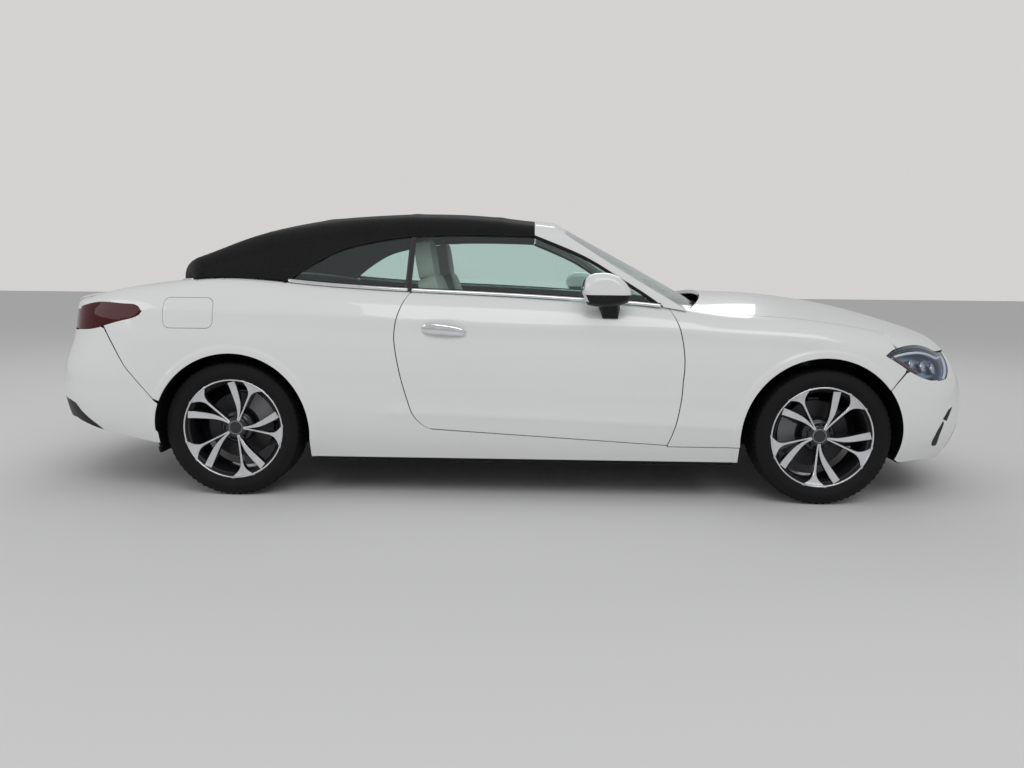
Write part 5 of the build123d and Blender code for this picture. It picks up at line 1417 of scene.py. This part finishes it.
def tube(name, path, radius, material, body, side=1, sides=10):
    """A round bar along a path, with closed ends."""
    path = np.array(path, float)
    ahead = np.gradient(path, axis=0)
    ahead /= np.linalg.norm(ahead, axis=1)[:, None]
    up = np.cross(ahead, np.cross([0.0, 0.0, 1.0], ahead) + 1e-9)
    up /= np.linalg.norm(up, axis=1)[:, None]
    out = np.cross(up, ahead)
    rows = [path + (out * math.cos(t) + up * math.sin(t)) * radius
            for t in np.linspace(0, math.tau, sides, endpoint=False)]
    return bar(name, rows, material, body, side)


def block(name, low, high, material, body, edge=2.0, turn=None):
    """A box with rounded edges, turned about its middle if asked."""
    made = bmesh.new()
    bmesh.ops.create_cube(made, size=1.0)
    low, high = Vector(low), Vector(high)
    size, middle = high - low, (high + low) / 2
    matrix = Matrix.Translation(middle * MM)
    if turn:
        matrix = matrix @ turn.to_4x4()
    matrix = matrix @ Matrix.Diagonal((*(size * MM), 1.0))
    bmesh.ops.transform(made, matrix=matrix, verts=made.verts)
    piece = from_bmesh(name, made, material)
    add_edge_finish(piece, edge, 40, 3)
    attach(piece, body)


def lathe(name, at, axis, profile, materials, body, sides=48, picks=None):
    """Turn a closed profile of (along, radius) points about an axis through a point."""
    axis = Vector(axis).normalized()
    across = axis.orthogonal().normalized()
    third = axis.cross(across)
    points, faces, rows = [], [], len(profile)
    for n in range(sides):
        t = math.tau * n / sides
        ray = across * math.cos(t) + third * math.sin(t)
        points += [tuple(Vector(at) + axis * a + ray * r) for a, r in profile]
        here, there = n * rows, (n + 1) % sides * rows
        for k in range(rows):
            after = (k + 1) % rows
            faces.append((here + k, here + after, there + after, there + k))
    picks = (picks or [0] * rows) * sides
    piece = mesh_object(name, points, faces, materials, picks=picks)
    edited(piece, lambda made: bmesh.ops.remove_doubles(made, verts=made.verts, dist=1e-6))
    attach(outwards(piece), body)
    return piece


def make_lamps():
    for name, side in SIDES:
        lamp(f"headlamp_{name}", NOSE_CHART, headlamp_outline, "clear", "lamp_bowl", side,
             "headlamps" if side > 0 else None)
        brow = [("side", [(x + 6, z - 10) for x, z in smooth_line(LAMP, 8)[1:]])]
        guide_bar(f"headlamp_brow_{name}", brow, 9, 7.5, "gloss_black", side)
        hook = [("side", [(x + 12, z - 27) for x, z in smooth_line(LAMP, 8)[3:]]),
                ("front", [(-y - 14, z - 8) for y, z in lamp_end()])]
        guide_bar(f"headlamp_guide_{name}", hook, 12, 6.5, "white_guide", side)
        marker = [("side", [(x + 4, z + 13) for x, z in smooth_line(LAMP_LOW, 8) if 1815 < x < 1965])]
        guide_bar(f"headlamp_marker_{name}", marker, 12, 8, "side_marker", side)
        for number, (x, z, radius) in enumerate(PROJECTORS):
            spot = lift("side", [(x, z)])
            normal = normals_of(lower_body, spot)[0]
            out = normal * 0.6 + [0.4, 0, 0]
            at = (spot[0] - normal * PROJECTOR_DEPTH) * [1, side, 1]
            lathe(f"headlamp_projector_{number}_{name}", at, out * [1, side, 1],
                  [(-2, 0), (14, 0), (12, radius * 0.55), (6, radius * 0.8), (6, radius * 0.84), (12, radius),
                   (-2, radius)], [FINISHES["reflector"]], "body", 32)
        lamp(f"tail_lamp_{name}", TAIL_CHART, tail_lamp_outline, "red_lens", "gloss_black", side,
             "tail_lamps" if side > 0 else None)
        for row, drop in ((0, 26), (1, 52)):
            line = [("side", [(x - 24, z - drop) for x, z in smooth_line(TAIL_LAMP, 8)[3:-1]]),
                    ("rear", [(-y, 903 - drop) for y in np.linspace(742, 590, 18)])]
            guide_bar(f"tail_lamp_guide_{row}_{name}", line, 14, 6, "red_glow", side)


def ring_tree(name, inputs):
    """A geometry tree that repeats an object in a ring; its inputs are name, kind and default value."""
    tree = bpy.data.node_groups.new(name, "GeometryNodeTree")
    for label, kind, value in inputs:
        socket = tree.interface.new_socket(name=label, in_out="INPUT", socket_type="NodeSocket" + kind)
        if kind in ("Int", "Float"):
            socket.default_value = value
    tree.interface.new_socket(name="Geometry", in_out="OUTPUT", socket_type="NodeSocketGeometry")
    given, result, ring, spread, info, real, paint, at, lean = (tree.nodes.new(kind) for kind in (
        "NodeGroupInput", "NodeGroupOutput", "GeometryNodeMeshCircle", "GeometryNodeInstanceOnPoints",
        "GeometryNodeObjectInfo", "GeometryNodeRealizeInstances", "GeometryNodeSetMaterial",
        "GeometryNodeInputPosition", "FunctionNodeAlignRotationToVector"))
    lean.axis, lean.pivot_axis = "X", "Z"
    for source, output, target, socket in (
            (given, "Count", ring, "Vertices"), (given, "Radius", ring, "Radius"),
            (given, "Unit", info, "Object"), (at, 0, lean, "Vector"), (ring, 0, spread, "Points"),
            (info, "Geometry", spread, "Instance"), (lean, 0, spread, "Rotation"), (spread, 0, real, 0),
            (real, 0, paint, "Geometry"), (given, "Material", paint, "Material"), (paint, 0, result, 0)):
        tree.links.new(source.outputs[output], target.inputs[socket])
    return tree


def repeated(name, unit, count, radius, centre, axis, material, body, start=0.0):
    """Copies of a small mesh in a ring about an axis, as one plain mesh."""
    values = {"Count": count, "Radius": radius * MM, "Unit": unit, "Material": material}
    tree = ring_tree(name, list(zip(values, ("Int", "Float", "Object", "Material"), values.values())))
    carrier = linked(name + "_carrier", bpy.data.meshes.new(name))
    grown = carrier.modifiers.new("repeat", "NODES")
    grown.node_group = tree
    for item in tree.interface.items_tree:
        if item.in_out == "INPUT":
            grown[item.identifier] = values[item.name]
    bpy.context.view_layer.update()
    made = bpy.data.meshes.new_from_object(carrier.evaluated_get(bpy.context.evaluated_depsgraph_get()))
    turn = Vector((0, 0, 1)).rotation_difference(Vector(axis)).to_matrix().to_4x4()
    made.transform(Matrix.Translation(Vector(centre) * MM) @ turn @ Matrix.Rotation(start, 4, "Z"))
    bpy.data.objects.remove(carrier)
    piece = linked(name, made)
    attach(piece, body)
    return piece


# ---------------------------------------------------------------- wheels
HALF_TRACK, TYRE_R, TYRE_W = 797.0, 332.0, 232.0
AXLES = {"front": 1522.0, "rear": -1343.0}


def clad(node, name, materials, choose, body, cuts=(), edge=0.0):
    """A copy of a CAD piece, cut along planes, whose faces take the finish that `choose` gives them."""
    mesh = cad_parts[node].data.copy()
    mesh.materials.clear()
    for material in materials:
        mesh.materials.append(material)
    made = bmesh.new()
    made.from_mesh(mesh)
    bmesh.ops.remove_doubles(made, verts=made.verts, dist=2e-5)
    for point, normal in cuts:
        bmesh.ops.bisect_plane(made, geom=made.verts[:] + made.edges[:] + made.faces[:], dist=1e-5,
                               plane_co=Vector(point) * MM, plane_no=Vector(normal))
    bmesh.ops.recalc_face_normals(made, faces=made.faces)
    for face in made.faces:
        face.material_index = choose(face.calc_center_median() / MM, face.normal)
        face.smooth = True
    for line in made.edges:
        if len(line.link_faces) == 2:
            line.smooth = line.calc_face_angle(0) < math.radians(32)
    made.to_mesh(mesh)
    made.free()
    piece = linked(name, mesh)
    if edge:
        add_edge_finish(piece, edge, 32)
    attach(piece, body)
    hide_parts(node)
    return piece


# Half profile of a tyre: distance from its middle and radius, up the side wall and over the grooved crown.
TYRE_WALL = [(94.6, 228), (94.8, 246), (101, 249), (108, 262), (TYRE_W / 2 - 1.5, 276), (TYRE_W / 2, 284),
             (TYRE_W / 2 - 1, 288), (TYRE_W / 2 - 1, 292), (TYRE_W / 2 - 2.5, 296), (111, 308), (107.5, 316),
             (106.5, 318.5), (104, 323)]
TYRE_CROWN = [(97, 325.6), (77, 326.4), (76, 329.8), (54, 330.4), (53, 324.5), (46, 324.5), (45, 330.7),
              (19, 331.3), (18, 324.5), (10, 324.5), (9, 331.4)]
TREAD_BLOCK = (3.4, 4.4 * math.pi, 21)
TREAD_BLOCK_R, TREAD_BLOCK_OUT = 326.6, 89  # radius of the shoulder blocks, and distance from the middle


def make_tyre(end, name, side):
    """A turned tyre with grooves, and a ring of blocks on each shoulder."""
    x, y, body = AXLES[end], -HALF_TRACK * side, f"wheel_{end}_{name}"
    half = TYRE_WALL + TYRE_CROWN
    profile = half + [(-along, radius) for along, radius in half[::-1]]
    tyre = lathe(f"tyre_body_{end}_{name}", (x, y, TYRE_R), (0, 1, 0), profile, coat("tyre"), body, 120)
    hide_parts(f"tyre_{end}_{name}")
    unit, count = unit_block(TREAD_BLOCK), bpy.context.scene.convertible.tread_count
    for s in (-1, 1):
        where = "in" if s < 0 else "out"
        shoulder = repeated(f"tread_blocks_{end}_{name}_{where}", unit, count, TREAD_BLOCK_R,
                            (x, y + s * TREAD_BLOCK_OUT, TYRE_R), (0, 1, 0), FINISHES["tyre"],
                            body, start=0.02 * s)
        shoulder.data.polygons.foreach_set("use_smooth", [False] * len(shoulder.data.polygons))
    bpy.data.objects.remove(unit)


def unit_block(size):
    """A small block about the origin, to be repeated."""
    made = bmesh.new()
    bmesh.ops.create_cube(made, size=1.0)
    bmesh.ops.transform(made, matrix=Matrix.Diagonal((*(Vector(size) * MM), 1.0)), verts=made.verts)
    bmesh.ops.bevel(made, geom=made.edges[:], offset=0.7 * MM, segments=1, affect="EDGES")
    return from_bmesh("unit", made)


def unit_bolt(radius=9.5 * MM, height=16 * MM):
    """A wheel bolt head about the origin, along Z."""
    made = bmesh.new()
    bmesh.ops.create_cone(made, cap_ends=True, segments=6, radius1=radius, radius2=radius, depth=height)
    bmesh.ops.bevel(made, geom=made.edges[:], offset=1.2 * MM, segments=2, affect="EDGES")
    return from_bmesh("unit_bolt", made)


FIRST_THIN = {"front": 48.0, "rear": 64.0}  # angle of one thin spoke, in degrees
SPOKE_PAIRS = 5
BOLTS = (5, 56, 58, 0.3)  # count, radius of their circle, reach from the wheel's middle and first turn
# Stations of a spoke: radius, angle from the thin spoke in degrees, and width.
THIN_SPOKE = [(38, 1.4, 9), (110, 0.4, 9.5), (180, 0, 12.5)]
BROAD_SPOKE = [(38, 11, 8), (80, 13, 15), (120, 17, 25), (160, 21.5, 31), (232, 27, 37)]
SPOKE_FLARE = [(170, 0, 12), (188, 0, 17), (204, 0, 32), (219, 0, 60), (231, 0, 96), (243, 0, 132)]
# Outer and inner face of a spoke: radius, and reach from the wheel's middle plane.
SPOKE_FACE = [(0, 66), (60, 64), (95, 69), (205, 89), (226, 95), (236, 99.5), (260, 101.4)]
SPOKE_BACK = [(0, 34), (80, 30), (112, 48), (216, 62), (245, 74)]


def bent(table, radius):
    return float(np.interp(radius, *np.array(table, float).T))


def spoke(stations, turn, centre, side):
    """A spoke's points, faces and material picks: chamfered bar sections along stations in polar form."""
    radii, angles, widths = np.array(stations, float).T
    rings, corners, front = 14, 6, (1, 2, 3)
    at = np.linspace(radii[0], radii[-1], rings)
    angle, width = np.interp(at, radii, angles), Curve(radii, widths)(at)
    if len(stations) > 3:
        angle = Curve(radii, angles)(at)
    turns = np.radians(angle + turn)
    middle = np.stack([at * np.cos(turns), at * np.sin(turns)], 1)
    run = np.gradient(middle, axis=0)
    run /= np.linalg.norm(run, axis=1)[:, None]
    points = []
    for (x, z), (dx, dz), w, radius in zip(middle, run, width / 2, at):
        face, back, ease = bent(SPOKE_FACE, radius), bent(SPOKE_BACK, radius), min(2.0, w * 0.4)
        section = [(w, face - ease), (w + 2.5, back)]
        section = [(-c, reach) for c, reach in section[::-1]] + [(ease - w, face), (w - ease, face)] + section
        for across, reach in section:
            points.append((centre[0] + x - dz * across, -(HALF_TRACK + reach) * side,
                           centre[1] + z + dx * across))
    picks = [0 if k in front else 1 for _ in range(rings - 1) for k in range(corners)] + [1, 1]
    return points, ring_faces(rings, corners), picks


# Turned profiles, as distance along the axle and radius.
BARREL = [(100, 239), (95, 236), (88, 226), (70, 217), (-70, 217), (-90, 226), (-101, 238), (-101, 243),
          (-95.3, 243), (-95.3, 229), (94, 229), (94, 243), (100, 243)]
LIP = [(92, 238.5), (99.5, 238.5), (101.5, 240.5), (101.5, 245), (99.5, 247), (92, 247)]
HUB = [(12, 0), (12, 82), (36, 80), (40, 72), (42, 58), (58, 55), (63, 48), (64, 30), (64, 0)]
CAP = [(-4, 0), (-4, 37), (3, 37), (5, 34.5), (5, 30), (3.5, 28.5), (5.5, 16), (6, 0)]


def make_rim(end, name, side):
    """Five pairs of turned bright spokes over a black barrel, with a bright lip and a plain cap."""
    x, body = AXLES[end], f"wheel_{end}_{name}"
    out, middle = Vector((0, -side, 0)), Vector((x, -HALF_TRACK * side, TYRE_R))
    bright, dark = FINISHES["alloy"], FINISHES["alloy_dark"]
    points, faces, picks = [], [], []
    for pair in range(SPOKE_PAIRS):
        for stations in (THIN_SPOKE, BROAD_SPOKE, SPOKE_FLARE):
            got = spoke(stations, FIRST_THIN[end] + pair * 360 / SPOKE_PAIRS, (x, TYRE_R), side)
            faces += [tuple(n + len(points) for n in face) for face in got[1]]
            points += got[0]
            picks += got[2]
    spokes = mesh_object(f"alloy_spokes_{end}_{name}", points, faces, [bright, dark], smooth=False,
                         picks=picks)
    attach(outwards(spokes), body)
    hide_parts(f"rim_{end}_{name}")
    lathe(f"alloy_barrel_{end}_{name}", middle, out, BARREL, [dark], body, 96)
    lathe(f"alloy_lip_{end}_{name}", middle, out, LIP, [bright], body, 96)
    lathe(f"alloy_hub_{end}_{name}", middle, out, HUB, [dark], body, 48)
    # The cap's ring takes the caliper finish, whose darkened grey is painted shade.
    lathe(f"hub_cap_{end}_{name}", middle + out * 60, out, CAP, [dark, FINISHES["caliper"]], body, 48,
          picks=[0, 0, 1, 1, 1, 0, 0, 0])
    # The bolts take the disc finish, whose darkened colour is painted shade.
    bolt, (count, circle, reach, first) = unit_bolt(), BOLTS
    repeated(f"wheel_bolts_{end}_{name}", bolt, count, circle, middle + out * reach, out, FINISHES["disc"],
             body, start=first)
    bpy.data.objects.remove(bolt)


def make_wheels():
    for end in AXLES:
        for name, side in SIDES:
            make_tyre(end, name, side)
            make_rim(end, name, side)
            # The brake discs take the disc finish, whose darkened colour is painted shade.
            dress_node(f"brake_disc_{end}_{name}", "disc")


# ---------------------------------------------------------------- mirrors and handles
MIRROR_SPLIT_Z = 1008.0  # painted above, black plastic below
MIRROR_FACE = (-0.75, 975.0)  # the glass faces further back than this, and lies above this height


def mirror_pick(centre, normal):
    if normal.x < MIRROR_FACE[0] and centre.z > MIRROR_FACE[1]:
        return 2
    return int(centre.z < MIRROR_SPLIT_Z)


def make_mirrors():
    for name, side in SIDES:
        cut = ((346, -950 * side, MIRROR_SPLIT_Z), (0, 0, 1))
        clad(f"mirror_{name}", f"mirror_housing_{name}", coat("paint", "black", "mirror"), mirror_pick,
             f"door_{name}", cuts=[cut], edge=2.0)


# Door handle: x and z along its middle line, how far it stands out and its half height.
HANDLE_LINE = [(-407, 838), (-392, 839), (-360, 838), (-300, 834), (-240, 828), (-208, 822), (-194, 818)]
HANDLE_OUT = [3.0, 12.0, 19.0, 22.0, 19.0, 12.0, 3.0]
HANDLE_HALF_H = [11.0, 21.0, 26.0, 25.0, 21.0, 16.0, 9.0]


def make_handles():
    """Strap handles that stand out from the doors over their cups."""
    t = np.linspace(0, 1, 40)
    knots = np.linspace(0, 1, len(HANDLE_LINE))
    xs, zs = (Curve(knots, column(HANDLE_LINE, i))(t) for i in (0, 1))
    out, tall = Curve(knots, HANDLE_OUT)(t), Curve(knots, HANDLE_HALF_H)(t)
    skin = -lift("side", list(zip(xs, zs)))[:, 1] + 4.0 * np.sin(t * math.pi)
    rows = []
    for turn in np.linspace(0, math.tau, 16, endpoint=False):
        across, up = math.cos(turn), math.sin(turn)
        round_z = np.sign(up) * abs(up) ** 0.6 * tall
        rows.append(np.stack([xs, -(skin + out - 4 + across * 5.5), zs + round_z], 1))
    for name, side in SIDES:
        bar(f"door_handle_{name}", rows, FINISHES["chrome"], f"door_{name}", side)


# ---------------------------------------------------------------- cabin
PAD_RIM = 0.72  # share of a pad's height that is left at its rim
CHANNEL = (0.13, 0.035)  # depth and width of a sewn channel across a pad, as shares of its half sizes
EDGE_CHANNEL = (0.10, 0.62, 0.04)  # depth, place and width of the two channels along it


def cushion(name, size, at, lean, material, pinch=0.10, crown=0.16, seams=()):
    """A stuffed pad: a crowned closed form whose sides pull in, with sewn channels across it."""
    length, width, height = size
    channel_d, channel_w = CHANNEL
    edge_d, edge_at, edge_w = EDGE_CHANNEL
    made = bmesh.new()
    bmesh.ops.create_cube(made, size=1.0)
    bmesh.ops.subdivide_edges(made, edges=made.edges[:], cuts=16, use_grid_fill=True)
    for point in made.verts:
        u, v, w = (c * 2 for c in point.co)
        ease = 0.5 * (1 + (1 - abs(u) ** 4) * (1 - abs(v) ** 4))
        rim_u, rim_v = 1 - pinch * (abs(v) ** 6), 1 - pinch * (abs(u) ** 6)
        z = w * (PAD_RIM + (1 - PAD_RIM) * ease)
        if w > 0:
            z += crown * (1 - u * u) * (1 - v * v) * w
            for seam in seams:
                z -= channel_d * math.exp(-((u - seam) / channel_w) ** 2) * w * (1 - v ** 8)
            z -= edge_d * math.exp(-((abs(v) - edge_at) / edge_w) ** 2) * w * (1 - u ** 8)
        point.co = (u * rim_u * length / 2 * MM, v * rim_v * width / 2 * MM, z * height / 2 * MM)
    matrix = Matrix.Translation(Vector(at) * MM) @ Matrix.Rotation(math.radians(lean), 4, "Y")
    bmesh.ops.transform(made, matrix=matrix, verts=made.verts)
    piece = from_bmesh(name, made, material)
    rounded_off = piece.modifiers.new("soft", "SUBSURF")
    rounded_off.levels = rounded_off.render_levels = 1
    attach(piece, "body")
    return piece


def make_seats():
    """Two front seats on their frames, and a bench for two behind them."""
    light, dark = FINISHES["leather"], FINISHES["dark_leather"]
    for name, y in (("right", -402), ("left", 402)):
        cushion(f"seat_base_{name}", (470, 470, 112), (50, y, 386), -3, light, seams=(-0.35, 0.0, 0.35))
        back = cushion(f"seat_back_{name}", (680, 450, 118), (-322, y, 755), -109, light,
                       seams=(-0.5, -0.2, 0.1, 0.4))
        cushion(f"seat_headrest_{name}", (200, 262, 96), (-446, y, 1166), -99, light, pinch=0.08, crown=0.1)
        for s in (-1, 1):
            tube(f"headrest_post_{name}_{'in' if s * y > 0 else 'out'}",
                 [(-420, y + s * 60, 1040), (-428, y + s * 60, 1070), (-436, y + s * 60, 1100)], 6.5,
                 FINISHES["chrome"], "body")
        block(f"seat_frame_{name}", (-200, y - 215, 202), (240, y + 215, 330), dark, "body", 20)
    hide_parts("front_seats")
    for name, y in (("right", -275), ("left", 275)):
        base = cushion(f"rear_seat_base_{name}", (420, 520, 110), (-690, y, 400), 2, light, seams=(-0.3, 0.2))
        cushion(f"rear_seat_back_{name}", (520, 520, 120), (-1040, y, 700), -104, light,
                seams=(-0.4, 0.0, 0.4))
    block("rear_seat_frame", (-950, -535, 202), (-500, 535, 345), dark, "body", 20)
    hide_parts("rear_seat")


def make_cabin():
    """Screens, the steering wheel's pad, and the doors' armrests and pulls."""
    lean = Matrix.Rotation(math.radians(-14), 3, "Y")
    for name, low, high in (("centre_screen", (571, -125, 815), (586, 125, 990)),
                            ("driver_display", (586, 270, 880), (600, 530, 985))):
        block(name, low, high, FINISHES["screen_panel"], "body", 4, lean)
    rake = math.radians(24)
    axis = Vector((-math.cos(rake), 0, math.sin(rake)))
    lathe("steering_pad", Vector((432, 400, 842)) + axis * 8, axis,
          [(-10, 0), (16, 0), (13, 40), (6, 58), (-10, 60)], coat("dark_leather"), "steering_wheel", 40)
    for name, side in SIDES:
        for label, (x0, x1), depth, (z0, z1), finish, edge in (
                ("armrest", (-380, 500), 42, (640, 690), "leather", 14),
                ("pull", (60, 330), 26, (700, 716), "chrome", 5)):
            y0, y1 = sorted((-771 * side, (depth - 771) * side))
            block(f"door_{label}_{name}", (x0, y0, z0), (x1, y1, z1), FINISHES[finish], f"door_{name}", edge)


# Nodes that stay as they are, and their finishes.
DRESSED = {
    "grille": "gloss_black", "wipers": "black", "dashboard": "soft_trim", "steering_wheel": "dark_leather",
    # The knuckles take the caliper finish, whose darkened grey is painted shade.
    "front_knuckle_right": "caliper", "front_knuckle_left": "caliper", "front_subframe": "cast",
    "rear_subframe": "cast", "floor_pan": "steel", "front_structure": "steel", "rear_structure": "steel",
    "engine": "cast", "exhaust": "exhaust", "windscreen": "glass", "windscreen_frame": "paint",
}


def dress_kept_nodes():
    for node, name in DRESSED.items():
        dress_node(node, name)


# ---------------------------------------------------------------- add-on
class CONVERTIBLE_look(bpy.types.PropertyGroup):
    """Colours and sizes that a user would change."""

    tread_count: bpy.props.IntProperty(name="Tread blocks", description="Blocks round each tyre shoulder",
                                       default=66, min=12, max=160)
    hem_run: bpy.props.FloatProperty(name="Hem run", description="How far the cloth's rear hem slopes down",
                                     default=0.046, min=0.02, max=0.1, unit="LENGTH")

    paint: bpy.props.FloatVectorProperty(name="Paint", description="Colour of the painted panels",
                                         subtype="COLOR", size=3, default=(0.80, 0.81, 0.80), min=0, max=1)
    roof: bpy.props.FloatVectorProperty(name="Roof cloth", description="Colour of the fabric roof",
                                        subtype="COLOR", size=3, default=(0.008, 0.008, 0.009), min=0, max=1)


def operator(number, label, explanation, work):
    """An operator class for one group of pieces."""

    def execute(self, context):
        work()
        return {"FINISHED"}

    return type(f"CONVERTIBLE_OT_{number}", (bpy.types.Operator,), {
        "bl_idname": f"convertible.{number}", "bl_label": label, "__doc__": explanation, "execute": execute})


OPERATORS = [
    operator("finishes", "Finishes", "Make every material",
             lambda: make_finishes(bpy.context.scene.convertible)),
    operator("stage", "Stage", "Make the floor, lights and camera", lambda: (make_stage(), make_camera())),
    operator("wings", "Wings", "Make the front and rear wings", make_wings),
    operator("doors", "Doors", "Make the doors", make_doors),
    operator("lids", "Lids", "Make the bonnet, boot lid, tonneau cover and fuel flap", make_lids),
    operator("bumpers", "Bumpers", "Make the bumpers", make_bumpers),
    operator("soft_top", "Soft top", "Make the cloth roof with its hems and seals", make_soft_top),
    operator("glass", "Glass", "Make the panes and their trims", make_glass),
    operator("lamps", "Lamps", "Make the head and tail lamps", make_lamps),
    operator("wheels", "Wheels", "Make the tyres, alloy rims, hub caps and brakes", make_wheels),
    operator("mirrors", "Mirrors", "Make the door mirrors", make_mirrors),
    operator("handles", "Handles", "Make the door handles", make_handles),
    operator("seats", "Seats", "Make the padded seats", make_seats),
    operator("cabin", "Cabin", "Make the screens, steering pad and door trims", make_cabin),
    operator("kept_nodes", "Kept nodes", "Dress the nodes that stay as they are", dress_kept_nodes),
]


class CONVERTIBLE_PT_panel(bpy.types.Panel):
    """Lists the steps in the sidebar."""

    bl_label, bl_space_type, bl_region_type, bl_category = "Convertible", "VIEW_3D", "UI", "Convertible"

    def draw(self, context):
        for made in OPERATORS:
            self.layout.operator(made.bl_idname)


def register():
    for made in (CONVERTIBLE_look, *OPERATORS, CONVERTIBLE_PT_panel):
        bpy.utils.register_class(made)
    bpy.types.Scene.convertible = bpy.props.PointerProperty(type=CONVERTIBLE_look)


def unregister():
    del bpy.types.Scene.convertible
    for made in (CONVERTIBLE_PT_panel, *reversed(OPERATORS), CONVERTIBLE_look):
        bpy.utils.unregister_class(made)


def main():
    register()
    for made in OPERATORS:
        getattr(bpy.ops.convertible, made.bl_idname.split(".")[1])()


if __name__ == "__main__":
    main()
